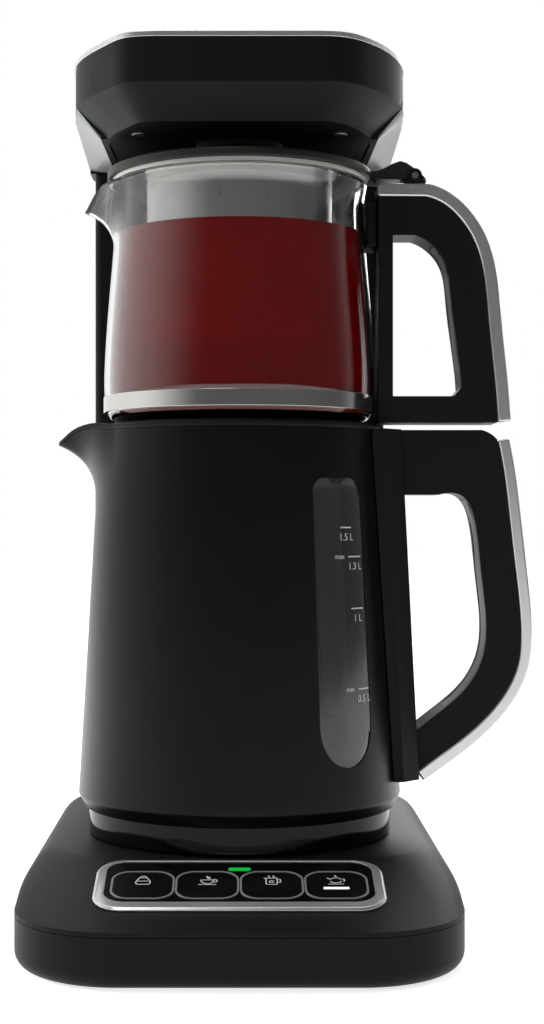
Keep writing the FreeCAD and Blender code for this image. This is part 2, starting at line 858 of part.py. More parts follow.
def make_connector():
    """The cordless connector: a round boss through the cover with the water port and its pin."""
    under = D.base_top - D.base_wall - D.seam_gap
    boss = turned("PlugBody", [
        (D.port_bore, D.plug_bottom), (D.plug_flange, D.plug_bottom), (D.plug_flange, under),
        (D.plug_radius, under), (D.plug_radius, D.plug_top, 1.5), (D.port_radius, D.plug_top),
        (D.port_radius, D.port_top), (D.port_bore, D.port_top),
    ])
    bar = block("PinBar", 0 - D.port_bore - 1, D.port_bore + 1, -0.8 * D.pin_radius, 0.8 * D.pin_radius,
                D.plug_top - 2, D.plug_top)
    post = disc("PinPost", 0, 0, D.pin_radius, D.plug_top - 2, D.pin_top)
    keep("base_connector", united("BaseConnector", boss, bar, post))


def make_pump():
    """The pump: a hollow housing, a rotor on its shaft, and the motor above."""
    place = D.pump_distance
    wall = D.base_wall
    housing = disc("PumpCase", 0, place, D.pump_radius, D.pump_low, D.pump_high)
    cavity = disc("PumpCavity", 0, place, D.pump_radius - wall, D.pump_low + wall, D.pump_high - wall)
    shaft_way = disc("PumpShaftWay", 0, place, D.shaft_radius + 0.06, D.pump_low + wall, D.pump_high + 1)
    inlet = round_bar("PumpInlet", 0 * place, place - D.pump_radius - 1, place, D.hose_level, D.hose_bore)
    outlet = round_bar("PumpOutlet", 0 * place, place, place + D.pump_radius + 1, D.hose_level,
                       D.hose_bore)
    keep("pump_housing", less("PumpHousing", housing, cavity, shaft_way, inlet, outlet))
    motor = disc("MotorCan", 0, place, D.motor_radius, D.pump_high + 0.1, D.motor_top)
    motor_way = disc("MotorWay", 0, place, D.shaft_radius + 0.06, D.pump_high - 1, D.motor_top - wall)
    keep("pump_motor", less("PumpMotor", motor, motor_way))
    hub = disc("RotorHub", 0, place, D.shaft_radius * 2.5, D.pump_low + wall + 0.3,
               D.pump_high - wall - 0.3)
    back_plate = disc("RotorPlate", 0, place, D.rotor_radius, D.pump_low + wall + 0.3,
                      D.pump_low + wall + 1.8)
    shaft = disc("RotorShaft", 0, place, D.shaft_radius, D.pump_low + wall + 0.3,
                 D.motor_top - wall - 0.5)
    vanes = []
    for k in range(6):
        vane = Part.makeBox(
            number(D.rotor_radius) - 3.5, 1.2, number(D.pump_high - D.pump_low) - 2 * number(wall) - 2.5,
            VECTOR(3.0, -0.6, number(D.pump_low + wall) + 1.5),
        )
        vane.rotate(VECTOR(0, 0, 0), VECTOR(0, 0, 1), 60 * k)
        vane.translate(VECTOR(0, number(place), 0))
        vanes.append(vane)
    keep("pump_rotor", united("PumpRotor", hub, back_plate, shaft, group("RotorVanes", vanes)))


def make_hoses():
    """The inlet hose from the connector to the pump and the riser hose from the pump to the shower."""
    level = number(D.hose_level)
    bend = number(D.hose_bend)
    inlet = [
        VECTOR(0, 0, number(D.plug_bottom) - 0.1),
        VECTOR(0, 0, level),
        VECTOR(0, number(D.pump_distance - D.pump_radius) - 0.1, level),
    ]
    keep("inlet_hose", hose("InletHose", inlet, bend, number(D.hose_radius), number(D.hose_bore)))
    top = number(D.shower_level)
    back = number(D.riser_distance)
    riser = [
        VECTOR(0, number(D.pump_distance + D.pump_radius) + 0.1, level),
        VECTOR(0, back, level),
        VECTOR(0, back, top),
        VECTOR(0, number(D.shower_radius) + 6.1, top),
    ]
    keep("riser_hose", hose("RiserHose", riser, 6.5, number(D.hose_radius), number(D.hose_bore)))


def make_power_board():
    """The power board on the tray's floor, beside the pump, with its tall parts."""
    floor = D.base_bottom + D.base_wall
    plate = block("BoardSheet", D.pump_radius + 4, D.pump_radius + 44, D.pump_distance - 34,
                  D.pump_distance + 16, floor + 4, floor + 4 + D.board_thick)
    parts = [plate]
    for k, (dx, dy, w, d, tall) in enumerate(((6, 6, 12, 10, 11), (24, 8, 10, 14, 9), (8, 26, 22, 12, 13))):
        parts.append(block(
            f"BoardPart{k}", D.pump_radius + 4 + dx, D.pump_radius + 4 + dx + w,
            D.pump_distance - 34 + dy, D.pump_distance - 34 + dy + d, floor + 4 + D.board_thick,
            floor + 4 + D.board_thick + tall,
        ))
    for k, (dx, dy) in enumerate(((3, 3), (37, 3), (37, 47), (3, 47))):
        parts.append(disc(
            f"BoardLeg{k}", D.pump_radius + 4 + dx, D.pump_distance - 34 + dy, D.shaft_radius * 1.4,
            floor + 0.1, floor + 4,
        ))
    keep("power_board", united("PowerBoard", *parts))


# Tower: column, head, trim, rails, underside and shower

def head_plan(inset, level):
    """The head's plan as a closed wire: a flat front, smooth front corners, straight sides and back."""
    half = number(D.head_half_width)
    front = number(D.head_front)
    flat = number(D.head_flat)
    # Right front corner: a point of the plan and the angle at which the wall there faces
    depth = number(D.head_corner_depth)
    corner = (
        (flat, -front, -90.0),
        (half - 20.3, -front + 0.159 * depth, -49.0),
        (half - 7.8, -front + 0.462 * depth, -22.0),
        (half - 0.9, -front + 0.793 * depth, -5.0),
        (half, -front + depth, 0.0),
    )
    moved = [
        (x - inset * math.cos(math.radians(a)), y - inset * math.sin(math.radians(a))) for x, y, a in corner
    ]
    right = [VECTOR(x, y, level) for x, y in moved]
    left = [VECTOR(-x, y, level) for x, y in reversed(moved)]
    back = number(D.column_back) - inset
    round_back = number(D.column_corner) - inset
    side = half - inset
    right_curve = Part.BSplineCurve()
    right_curve.interpolate(Points=right, InitialTangent=VECTOR(1, 0, 0), FinalTangent=VECTOR(0, 1, 0))
    left_curve = Part.BSplineCurve()
    left_curve.interpolate(Points=left, InitialTangent=VECTOR(0, -1, 0), FinalTangent=VECTOR(1, 0, 0))
    slant = round_back * (1 - math.sqrt(0.5))
    turn = [
        VECTOR(side, back - round_back, level), VECTOR(side - slant, back - slant, level),
        VECTOR(side - round_back, back, level),
    ]
    mirror = [VECTOR(-p.x, p.y, level) for p in reversed(turn)]
    return Part.Wire([
        right_curve.toShape(), Part.LineSegment(right[-1], turn[0]).toShape(),
        Part.Arc(*turn).toShape(), Part.LineSegment(turn[-1], mirror[0]).toShape(),
        Part.Arc(*mirror).toShape(), Part.LineSegment(mirror[-1], left[0]).toShape(),
        left_curve.toShape(), Part.LineSegment(left[-1], right[0]).toShape(),
    ])


def slab(inset, low, high):
    """A straight-walled piece of the head's plan between two levels."""
    return Part.Face(head_plan(inset, low)).extrude(VECTOR(0, 0, high - low))


def cross_wire(place, half_top, top, half_low, low, seat):
    """A section across X at place, wide at the top and narrow below, with its slants raised by seat."""
    right = [(half_low, low), (half_low, low + seat), (half_top, top + seat)]
    if not seat:
        right = right[1:]
    points = [VECTOR(x, place, z) for x, z in right]
    points += [VECTOR(-x, place, z) for x, z in reversed(right)]
    return Part.makePolygon(points + points[:1])


def head_solid(inset, seat=0.0):
    """The head without its trim: straight walls above the break line, a chamfered nose below it in
    front, and behind the seam an underside that rises and turns flat towards the column. The slanted
    sides behind the seam stand back by seat, where the rails lie."""
    low = number(D.head_low)
    middle = number(D.head_break)
    seam = number(D.rail_start)
    face = number(D.column_front)
    end = number(D.rail_outer_end)
    rear_low = number(D.head_rear_low)
    half = number(D.head_half_width) - inset
    nose = Part.makeLoft([
        head_plan(inset + number(D.head_chamfer), low), head_plan(inset, middle)
    ], True, True)
    if seat:
        nose = nose.fuse(slab(inset, middle, middle + seat))
    behind = Part.makeBox(400, 400, 400, VECTOR(-200, seam, low - 100))
    upper = slab(inset, middle + seat, number(D.head_rim))
    rear = Part.makeLoft([
        cross_wire(seam, half, middle, half - number(D.head_chamfer), low, seat),
        cross_wire(face, half, end, half - number(D.head_rear_chamfer), rear_low, seat),
    ], True, True)
    roof = middle + seat + 1
    wedge = Part.makePolygon([
        VECTOR(-half, seam, middle + seat), VECTOR(-half, face, end + seat),
        VECTOR(-half, face, roof), VECTOR(-half, seam, roof), VECTOR(-half, seam, middle + seat),
    ])
    over = Part.Face(wedge).extrude(VECTOR(2 * half, 0, 0))
    tail = slab(inset, rear_low, roof)
    tail = tail.common(Part.makeBox(400, 400, 400, VECTOR(-200, face, rear_low - 1)))
    return nose.cut(behind).fuse([rear, over, tail, upper]).removeSplitter()


def make_head():
    """The head shell, top cover, trim, side rails, underside plate, screws and shower."""
    wall = number(D.head_wall)
    rim = number(D.head_rim)
    low = number(D.head_low)
    gap = number(D.seam_gap)
    lift = number(D.recess_depth)
    thick = number(D.underside_thick)
    solid = head_solid(0)
    cavity = head_solid(wall)
    cavity.translate(VECTOR(0, 0, wall))
    open_top = slab(wall, rim - 1, rim + 1)
    duct = Part.makeCylinder(
        number(D.hose_radius) * 1.5, 20, VECTOR(0, number(D.riser_distance), number(D.head_rear_low) - 5)
    )
    mouth = underside_blank(0)
    rails = make_rails()
    shell = head_solid(0, number(D.rail_thick)).cut([cavity, open_top, duct, mouth])
    keep("head_shell", shaped("HeadShell", shell.removeSplitter()))
    keep("side_rail_left", shaped("RailLeft", rails[0]))
    keep("side_rail_right", shaped("RailRight", rails[1]))
    trim = number(D.trim_width)
    top = number(D.head_rim + D.trim_height)
    ring = slab(0, rim, top).cut(slab(trim, rim - 1, top + 1))
    keep("head_trim", shaped("HeadTrim", ring))
    lid = slab(trim + 0.15, rim, top - 0.5).fuse(slab(wall + 0.2, rim - 3, rim))
    keep("head_top_cover", shaped("HeadTopCover", lid.cut(slab(2 * wall, rim - 4, rim - 0.5))))
    upper = solid.copy()
    upper.translate(VECTOR(0, 0, lift))
    top_cut = solid.copy()
    top_cut.translate(VECTOR(0, 0, lift + thick))
    pan = upper.cut(top_cut).common(underside_blank(gap))
    mouth = Part.makeCylinder(number(D.shower_radius) + 0.3, 30, VECTOR(0, 0, low - 5))
    places = [VECTOR(side * 45.0, -30.0, low + lift - 0.6) for side in (-1, 1)]
    bores = [Part.makeCylinder(number(D.screw_radius) + 0.15, 8, place) for place in places]
    seats = [Part.makeCylinder(number(D.screw_head) + 0.2, 1.2, place) for place in places]
    keep("head_underside", shaped("HeadUnderside", pan.cut([mouth] + bores + seats)))
    screws = []
    for place in places:
        head = Part.makeCylinder(number(D.screw_head), 1.1, place)
        screws.append(head.fuse(Part.makeCylinder(number(D.screw_radius), 8, place)).removeSplitter())
    keep("head_screws", group("HeadScrews", screws))
    make_shower()


def underside_blank(gap):
    """The straight-walled opening under the head, drawn in by gap for the plate that fills it."""
    level = number(D.head_low) - 1
    inset = number(D.head_chamfer + D.head_wall) + gap
    blank = slab(inset, level, number(D.head_break))
    back = number(D.column_front - 2 * D.head_wall) - gap
    return blank.common(Part.makeBox(400, 200 + back, 40, VECTOR(-200, -200, level)))


def make_rails():
    """The two light rails under the head's sides: thin skins that fill the shell's raised slants."""
    seam = number(D.rail_start)
    face = number(D.column_front)
    half = number(D.head_half_width)
    thick = number(D.rail_thick)
    inner = half - number(D.head_chamfer)
    inner_rear = half - number(D.head_rear_chamfer)
    rails = []
    for side in (-1, 1):
        wires = []
        for place, outer_level, reach, inner_level in (
            (seam, number(D.head_break), inner, number(D.head_low)),
            (face, number(D.rail_outer_end), inner_rear, number(D.head_rear_low)),
        ):
            points = [
                VECTOR(side * half, place, outer_level), VECTOR(side * reach, place, inner_level),
                VECTOR(side * reach, place, inner_level + thick),
                VECTOR(side * half, place, outer_level + thick),
            ]
            wires.append(Part.makePolygon(points + points[:1]))
        rails.append(Part.makeLoft(wires, True, True))
    return rails


def make_shower():
    """The shower head: a round box with a drilled floor and a nozzle towards the riser hose."""
    radius = number(D.shower_radius)
    low = number(D.shower_low)
    level = number(D.shower_level)
    body = Part.makeCylinder(radius, level + 6 - low, VECTOR(0, 0, low))
    rise = (D.head_rear_low - D.head_low) * 0.5
    flange_level = number(D.head_low + D.recess_depth + D.underside_thick + rise + D.seam_gap)
    flange = Part.makeCylinder(radius + 3, 1.8, VECTOR(0, 0, flange_level))
    nozzle = Part.makeCylinder(4.6, radius - 4, VECTOR(0, 10, level), VECTOR(0, 1, 0))
    hollow = Part.makeCylinder(radius - 2, level + 2 - low, VECTOR(0, 0, low + 2))
    way = Part.makeCylinder(number(D.hose_bore), radius + 20, VECTOR(0, 0, level), VECTOR(0, 1, 0))
    holes = []
    for ring, count in ((0, 1), (6.0, 6), (12.0, 12)):
        for k in range(count):
            angle = 2 * math.pi * k / count
            place = VECTOR(ring * math.cos(angle), ring * math.sin(angle), low - 1)
            holes.append(Part.makeCylinder(0.9, 5, place))
    nozzle_end = Part.makeCylinder(4.6, 6, VECTOR(0, radius, level), VECTOR(0, 1, 0))
    shell = body.fuse([flange, nozzle, nozzle_end]).cut([hollow, way] + holes)
    keep("shower_head", shaped("ShowerHead", shell.removeSplitter()))


def column_plan(inset, front, back, front_round, back_round):
    """The column's plan between two distances, with its own corner radii."""
    half = D.column_half_width - inset
    return [
        (0 - half, front, front_round), (half, front, front_round),
        (half, back, back_round), (0 - half, back, back_round),
    ]


def make_column():
    """The column's front and rear covers, open at both ends for the riser hose."""
    low = D.base_top + D.seam_gap
    high = D.head_rear_low - D.seam_gap
    wall = D.column_wall
    front = padded("ColumnFrontBlock", column_plan(
        0, D.column_front + 0, D.column_back + 0, D.column_wall * 1.6, D.column_corner + 0
    ), low, high)
    hollow = padded("ColumnHollow", column_plan(
        wall, D.column_front + wall, D.column_back - wall, D.column_wall * 0.8, D.column_corner - wall
    ), low - 1, high + 1)
    tube = less("ColumnTube", front, hollow)
    reach = 2 * D.head_half_width
    ahead = block("ColumnAhead", 0 - reach, reach + 0, 0 * reach, D.column_split, low - 2, high + 2)
    behind = block("ColumnBehind", 0 - reach, reach + 0, D.column_split + 0.1, 2 * D.column_back,
                   low - 2, high + 2)
    keep("column_front_cover", shared("ColumnFront", tube, ahead))
    keep("column_rear_cover", shared("ColumnRear", tube, behind))


# Kettle

def kettle_radius(level):
    """The kettle wall's outer radius at a level, on its straight taper."""
    share = (D.kettle_top - level) / (D.kettle_top - D.kettle_wide_level)
    return D.kettle_top_radius + (D.kettle_wide_radius - D.kettle_top_radius) * share


# Beak stations: distance out from the axis, half width, metal edge level, trim level, underside level
BEAK = (
    (58.0, 29.0, 223.0, 224.6, 184.0),
    (66.4, 23.5, 223.0, 224.9, 196.6),
    (71.9, 16.0, 222.2, 224.4, 206.7),
    (77.0, 9.2, 219.9, 222.4, 211.8),
    (81.4, 4.0, 216.4, 218.8, 214.4),
    (84.0, 0.9, 215.0, 216.2, 214.7),
)


def beak_loft(shift, grow, first, over=0.0):
    """The beak's outer or inner form: round channel sections carried out along the stations."""
    sections = []
    for out, half, edge, _, under in BEAK[first:]:
        place = -out + shift
        sections.append(cross_section(max(half + grow, 0.3), edge + over, under - grow, place))
    return Part.makeLoft(sections, True, True)


def wall_turn(inner, outer, low, high):
    """A conical shell between two distances from the kettle's outer wall."""
    profile = [
        VECTOR(number(kettle_radius(low)) + inner, 0, low), VECTOR(number(kettle_radius(low)) + outer, 0, low),
        VECTOR(number(kettle_radius(high)) + outer, 0, high),
        VECTOR(number(kettle_radius(high)) + inner, 0, high),
    ]
    face = Part.Face(Part.makePolygon(profile + profile[:1]))
    return face.revolve(VECTOR(0, 0, 0), VECTOR(0, 0, 1), 360)


def window_block(grow):
    """A rounded block that points out of the axis at the water window's azimuth."""
    half = number(D.window_half_width) + grow
    low = number(D.window_low) - grow
    high = number(D.window_high) + grow
    corner = number(D.window_corner) + grow
    wide = Part.makeBox(80, 2 * half, high - low, VECTOR(30, -half, low))
    edges = [
        edge for edge in wide.Edges
        if abs(edge.BoundBox.YLength) < 1e-6 and abs(edge.BoundBox.ZLength) < 1e-6
    ]
    lower = [edge for edge in edges if edge.BoundBox.ZMax < low + 1]
    rounded = wide.makeFillet(half * 0.9, lower)
    upper = [
        edge for edge in rounded.Edges
        if abs(edge.BoundBox.YLength) < 1e-6 and abs(edge.BoundBox.ZLength) < 1e-6
        and edge.BoundBox.ZMin > high - 1
    ]
    rounded = rounded.makeFillet(corner * 0.5, upper)
    rounded.rotate(VECTOR(0, 0, 0), VECTOR(0, 0, 1), number(D.window_azimuth) - 90)
    return rounded


def make_kettle():
    """The kettle's metal wall with its beak, collar, window, rim and seat."""
    wall = number(D.kettle_wall)
    low_radius = D.kettle_low_radius
    sleeve = turned("KettleSleeve", [
        (low_radius + 0, D.kettle_low + 0),
        (D.kettle_wide_radius + 0, D.kettle_wide_level + 0, 5.0),
        (D.kettle_top_radius + 0, D.kettle_top + 0),
        (D.kettle_top_radius - D.kettle_wall, D.kettle_top + 0),
        (D.kettle_wide_radius - D.kettle_wall, D.kettle_wide_level + 0.2, 4.0),
        (low_radius - D.kettle_wall, D.kettle_low + 0.6),
    ])
    DOC.recompute()
    core = wall_turn(-40, -wall + 0.02, 60.0, number(D.kettle_top) + 6)
    beak = beak_loft(0, 0, 0).cut(core)
    channel = beak_loft(1.4, -1.3, 0, 0.5).cut(wall_turn(-40, -wall - 4, 60.0, 230.0))
    shell = sleeve.Shape.fuse(beak).cut([channel, window_block(0.15)])
    shell = shell.removeSplitter()
    keep("kettle_body", shaped("KettleBody", shell))
    glazing = wall_turn(-number(D.window_thick), -0.25, 60.0, 215.0).common(window_block(0))
    keep("water_window", shaped("WaterWindow", glazing))
    frame = wall_turn(-number(D.window_thick) - 1.6, -number(D.window_thick) - 0.1, 60.0, 215.0)
    inner = window_block(-3.0)
    keep("window_seal", shaped("WindowSeal", frame.common(window_block(2.2)).cut(inner)))
    make_collar()
    make_rim(channel, shell)


def make_collar():
    """The gloss collar with its floor, the socket in it, the heating plate, the ring and the valve."""
    inner = D.collar_radius - D.collar_wall
    floor = D.collar_floor
    top = floor + D.floor_thick
    socket_outer = D.plug_radius + D.fit_gap * 4 + D.socket_wall
    keep("kettle_collar", turned("KettleCollar", [
        (inner, D.collar_low + 0), (D.collar_radius + 0, D.collar_low + 0, 1.2),
        (D.collar_radius + 0, D.kettle_low - 0.2), (D.kettle_low_radius - D.kettle_wall - 0.6,
                                                    D.kettle_low - 0.2),
        (D.kettle_low_radius - D.kettle_wall - 0.6, top), (socket_outer + 0.2, top),
        (socket_outer + 0.2, floor + 0), (inner, floor + 0),
    ]))
    recess = D.plug_top + D.fit_gap * 3
    port = D.port_radius + D.fit_gap * 6
    keep("kettle_socket", turned("KettleSocket", [
        (socket_outer - D.socket_wall, D.socket_low + 0), (socket_outer, D.socket_low + 0),
        (socket_outer, top + 0.1), (socket_outer + 3.5, top + 0.1), (socket_outer + 3.5, D.socket_top + 0),
        (D.valve_radius + D.fit_gap, D.socket_top + 0), (D.valve_radius + D.fit_gap, D.port_top + 0.7),
        (port, D.port_top + 0.7), (port, recess), (socket_outer - D.socket_wall, recess),
    ]))
    plate_radius = kettle_radius(D.heater_level) - D.kettle_wall - D.fit_gap * 1.5
    heater_top = D.heater_level + D.heater_thick
    keep("heating_plate", turned("HeatingPlate", [
        (D.valve_radius + D.fit_gap, D.heater_level + 0), (plate_radius, D.heater_level + 0),
        (plate_radius - 0.6, D.heater_level + D.heater_skirt),
        (plate_radius - 1.6, D.heater_level + D.heater_skirt),
        (plate_radius - 1.2, heater_top), (D.valve_radius + D.fit_gap, heater_top),
    ]))
    ring = DOC.addObject("Part::Torus", "ElementRing")
    ring.setExpression("Radius1", formula(D.element_radius))
    ring.setExpression("Radius2", formula(D.element_tube))
    ring.setExpression("Placement.Base.z", formula(D.heater_level - D.element_tube - 0.1))
    keep("heating_ring", ring)
    make_valve(heater_top)


def make_valve(heater_top):
    """The spring-closed valve in the kettle's floor, held open by the base's pin."""
    low = D.port_top + 0.9
    seat = heater_top + 1.6
    bar_low = low + 9.6
    body = turned("ValveTube", [
        (D.valve_bore + 0, low), (D.valve_radius + 0, low), (D.valve_radius + 0, heater_top + 0.1),
        (D.valve_radius + 3.2, heater_top + 0.1), (D.valve_radius + 3.2, seat), (D.valve_bore + 0, seat),
    ])
    bar = block("ValveBar", 0 - D.valve_bore - 1, D.valve_bore + 1, -1.0 * D.pin_radius - 0.9,
                D.pin_radius + 0.9, bar_low, bar_low + 2)
    stem_way = disc("ValveStemWay", 0, 0, D.pin_radius + 0.08, bar_low - 1, bar_low + 3)
    keep("valve_body", united("ValveBody", body, less("ValveSpider", bar, stem_way)))
    head = turned("PoppetHead", [
        (0, seat + D.valve_rise), (D.poppet_radius + 0, seat + D.valve_rise),
        (D.poppet_radius + 0, seat + D.valve_rise + 1.2), (0, seat + D.valve_rise + 2.6),
    ])
    stem = disc("PoppetStem", 0, 0, D.pin_radius, D.pin_top + 0.1, seat + D.valve_rise + 1)
    clip = disc("PoppetClip", 0, 0, D.valve_bore - 0.5, D.pin_top + 1.0, D.pin_top + 2.0)
    keep("valve_poppet", united("ValvePoppet", head, stem, clip))
    keep("valve_spring", disc("ValveSpring", 0, 0, D.valve_bore - 0.8, D.pin_top + 2.1, bar_low - 0.1,
                              D.pin_radius + 0.4))


def make_rim(channel, shell):
    """The black rim: seat ring for the teapot, skirt inside the wall, and the beak's trim."""
    ring = turned("RimRing", [
        (D.seat_bore + 0, D.rim_top - 1.6), (D.kettle_top_radius - D.kettle_wall - 2.2, D.rim_top - 1.6),
        (D.kettle_top_radius - D.kettle_wall - 2.2, D.kettle_top - 4),
        (D.kettle_top_radius - D.kettle_wall - 0.2, D.kettle_top - 4),
        (D.kettle_top_radius - D.kettle_wall - 0.2, D.kettle_top + 0.1),
        (D.rim_ring + 0, D.kettle_top + 0.1), (D.rim_ring + 0, D.rim_top + 0, 0.8),
        (D.seat_outer + 0.8, D.rim_top + 0), (D.seat_outer + 0, D.seat_top + 0), (D.seat_bore + 0, D.seat_top + 0),
    ])
    DOC.recompute()
    walls, ways = [], []
    for out, half, edge, trim, under in BEAK:
        walls.append(flat_section(half + 0.25, min(trim, number(D.seat_top)), edge + 0.12, -out))
        ways.append(flat_section(max(half - 1.6, 0.15), trim + 2, edge - 1, -out + 1.6))
    beak = Part.makeLoft(walls, True, True)
    beak = beak.cut([Part.makeLoft(ways, True, True), Part.makeCylinder(number(D.seat_outer) + 2, 60,
                                                                          VECTOR(0, 0, 200))])
    opening = channel.common(Part.makeBox(200, 200, 60, VECTOR(-200, -100, 160)))
    rim = ring.Shape.fuse(beak).cut([opening, shell])
    keep("kettle_rim", shaped("KettleRim", rim.removeSplitter()))


# Kettle handle: side outlines as (x, z) pairs

KETTLE_GRIP_OUTER = (
    (110.5, 222.3), (117.6, 217.6), (120.6, 201.0), (124.4, 168.0), (127.8, 136.0), (126.4, 115.0),
    (115.4, 95.4), (99.0, 80.2), (80.6, 66.8),
)
KETTLE_GRIP_INNER = (
    (91.0, 192.8), (103.2, 190.6), (107.4, 180.0), (110.0, 158.0), (112.4, 134.0), (110.4, 117.6),
    (103.2, 104.8), (93.5, 95.8), (80.4, 85.4),
)


def make_kettle_handle():
    """The handle: mount on the kettle's side, grip loop, inner liner, outer spine and screws."""
    high = D.mount_high
    foot = kettle_radius(D.mount_low)
    head = kettle_radius(high)
    mount = side_padded("HandleMountBlock", [
        (head - 16, D.mount_low + 0), (foot + D.mount_reach - 0.6, D.mount_low + 0),
        (head + D.mount_reach + 0.6, high + 0), (head - 16, high + 0),
    ], D.mount_half_width)
    DOC.recompute()
    edges = [
        edge for edge in mount.Shape.Edges
        if edge.BoundBox.XMin > number(head + D.mount_reach) - 2 and edge.BoundBox.ZLength > 100
    ]
    bevelled = mount.Shape.makeChamfer(number(D.mount_chamfer) * 0.62, edges)
    wall = wall_turn(-60, 0.25, 40.0, 240.0)
    ledge = Part.makeCylinder(number(D.rim_ring) + 0.25, 8, VECTOR(0, 0, number(D.kettle_top) - 0.5))
    mount_shape = bevelled.cut([wall, ledge])
    half = number(D.grip_half_width)
    top = number(high)
    side_top = number(head + D.mount_reach) + 0.6
    side_low = number(foot + D.mount_reach) - 0.6
    loop = [
        side_line((side_top - 6, top), KETTLE_GRIP_OUTER[0]),
        curve_through(side_points(KETTLE_GRIP_OUTER)),
        side_line(KETTLE_GRIP_OUTER[-1], (side_low - 6, KETTLE_GRIP_OUTER[-1][1])),
        side_line((side_low - 6, KETTLE_GRIP_OUTER[-1][1]), (side_low - 6, KETTLE_GRIP_INNER[-1][1])),
        side_line((side_low - 6, KETTLE_GRIP_INNER[-1][1]), KETTLE_GRIP_INNER[-1]),
        curve_through(side_points(KETTLE_GRIP_INNER)),
        side_line(KETTLE_GRIP_INNER[0], (side_top - 6, KETTLE_GRIP_INNER[0][1])),
        side_line((side_top - 6, KETTLE_GRIP_INNER[0][1]), (side_top - 6, top)),
    ]
    grip = side_band(Part.__sortEdges__(loop), half).cut(mount_shape.fuse(wall))
    thick = number(D.liner_thick)
    liner_line = KETTLE_GRIP_INNER[1:-1]
    liner_half = number(D.liner_half_width)
    recess = curve_band(moved_out(liner_line, -1.0), moved_out(liner_line, thick), liner_half)
    liner = curve_band(
        moved_out(liner_line, 0.1), moved_out(liner_line, thick - 0.1), liner_half - 0.15
    )
    spine_line = KETTLE_GRIP_OUTER[1:]
    spine_outer = moved_out(spine_line, number(D.spine_thick))
    spine = curve_band(moved_out(spine_line, 0.1), spine_outer, half).cut(mount_shape)
    grip = grip.cut([recess, curve_band(spine_line, spine_outer, half + 1)])
    keep("handle_mount", shaped("HandleMount", mount_shape.removeSplitter()))
    keep("handle_grip", shaped("HandleGrip", grip.removeSplitter()))
    keep("handle_liner", shaped("HandleLiner", liner))
    keep("handle_spine", shaped("HandleSpine", spine))


# Teapot

GLASS_OUTER = (
    (56.5, 225.2), (59.7, 228.2), (61.6, 234.0), (62.3, 244.0), (61.6, 262.0), (60.2, 281.0),
    (58.6, 300.0), (57.5, 316.0), (57.3, 326.0), (58.6, 334.5),
)


def glass_radius(level):
    """The glass jug's outer radius at a level, between its measured stations."""
    for (low_radius, low), (high_radius, high) in zip(GLASS_OUTER, GLASS_OUTER[1:]):
        if level <= high:
            return low_radius + (high_radius - low_radius) * (level - low) / (high - low)
    return GLASS_OUTER[-1][0]


def make_glass():
    """The glass jug with its poured lip, and the steel band round its foot."""
    wall = number(D.glass_wall)
    floor = number(D.glass_low + D.glass_floor)
    rim = number(D.glass_rim)
    outer = [VECTOR(r, 0, z) for r, z in GLASS_OUTER]
    inner = [VECTOR(r - wall, 0, z) for r, z in GLASS_OUTER[2:]]
    inner = [VECTOR(inner[0].x - 3, 0, floor)] + inner
    edges = [
        Part.LineSegment(VECTOR(0, 0, outer[0].z), outer[0]).toShape(),
        curve_through(outer),
        Part.LineSegment(outer[-1], inner[-1]).toShape(),
        curve_through(inner),
        Part.LineSegment(inner[0], VECTOR(0, 0, floor)).toShape(),
        Part.LineSegment(VECTOR(0, 0, floor), VECTOR(0, 0, outer[0].z)).toShape(),
    ]
    jug = Part.Face(Part.Wire(Part.__sortEdges__(edges))).revolve(VECTOR(0, 0, 0), VECTOR(0, 0, 1), 360)
    # Lip stations: distance out, half width, edge level, underside level
    lip = ((52.0, 21.0, rim, 305.0), (58.6, 16.0, rim, 314.5), (64.5, 9.0, 331.0, 318.6),
           (69.0, 4.0, 326.4, 320.2), (71.6, 1.2, 322.6, 320.6))
    outside = Part.makeLoft([cross_section(w, e, u, -x) for x, w, e, u in lip], True, True)
    inside = Part.makeLoft(
        [cross_section(max(w - 1.6, 0.3), e + 1, u + 1.8, -x + 1.6) for x, w, e, u in lip], True, True
    )
    bore = Part.Face(Part.makePolygon(
        [VECTOR(0, 0, floor)] + inner + [VECTOR(0, 0, rim), VECTOR(0, 0, floor)]
    )).revolve(VECTOR(0, 0, 0), VECTOR(0, 0, 1), 360)
    keep("teapot_glass", shaped("TeapotGlass", jug.fuse(outside.cut(bore)).cut(inside).removeSplitter()))
    low = D.band_low
    high = D.band_high
    clear = glass_radius(number(high)) + 0.25
    keep("teapot_band", turned("TeapotBand", [
        (clear, low + 0), (D.band_radius + 0, low + 0), (D.band_radius + 0, high + 0), (clear, high + 0)
    ]))


def make_infuser():
    """The infuser: a steel cup hung by its flange from the jug's rim, with slots in its wall."""
    radius = D.basket_radius
    wall = D.basket_wall
    top = D.flange_low + D.flange_thick
    cup = turned("InfuserCup", [
        (0, D.basket_low + 0), (radius - 1, D.basket_low + 0, 3.0), (radius + 0, D.flange_low + 0),
        (D.flange_radius + 0, D.flange_low + 0), (D.flange_radius + 0, top), (radius - wall, top),
        (radius - wall - 1, D.basket_low + wall, 2.4), (0, D.basket_low + wall),
    ])
    DOC.recompute()
    slots = []
    for row, count in ((0, 24), (1, 24), (2, 24), (3, 24)):
        for k in range(count):
            slot = Part.makeBox(8, 1.6, 8, VECTOR(number(radius) - 4, -0.8, 268 + 13 * row))
            slot.rotate(VECTOR(0, 0, 0), VECTOR(0, 0, 1), 360 * (k + 0.5 * (row % 2)) / count)
            slots.append(slot)
    keep("infuser_basket", shaped("InfuserBasket", cup.Shape.cut(slots)))


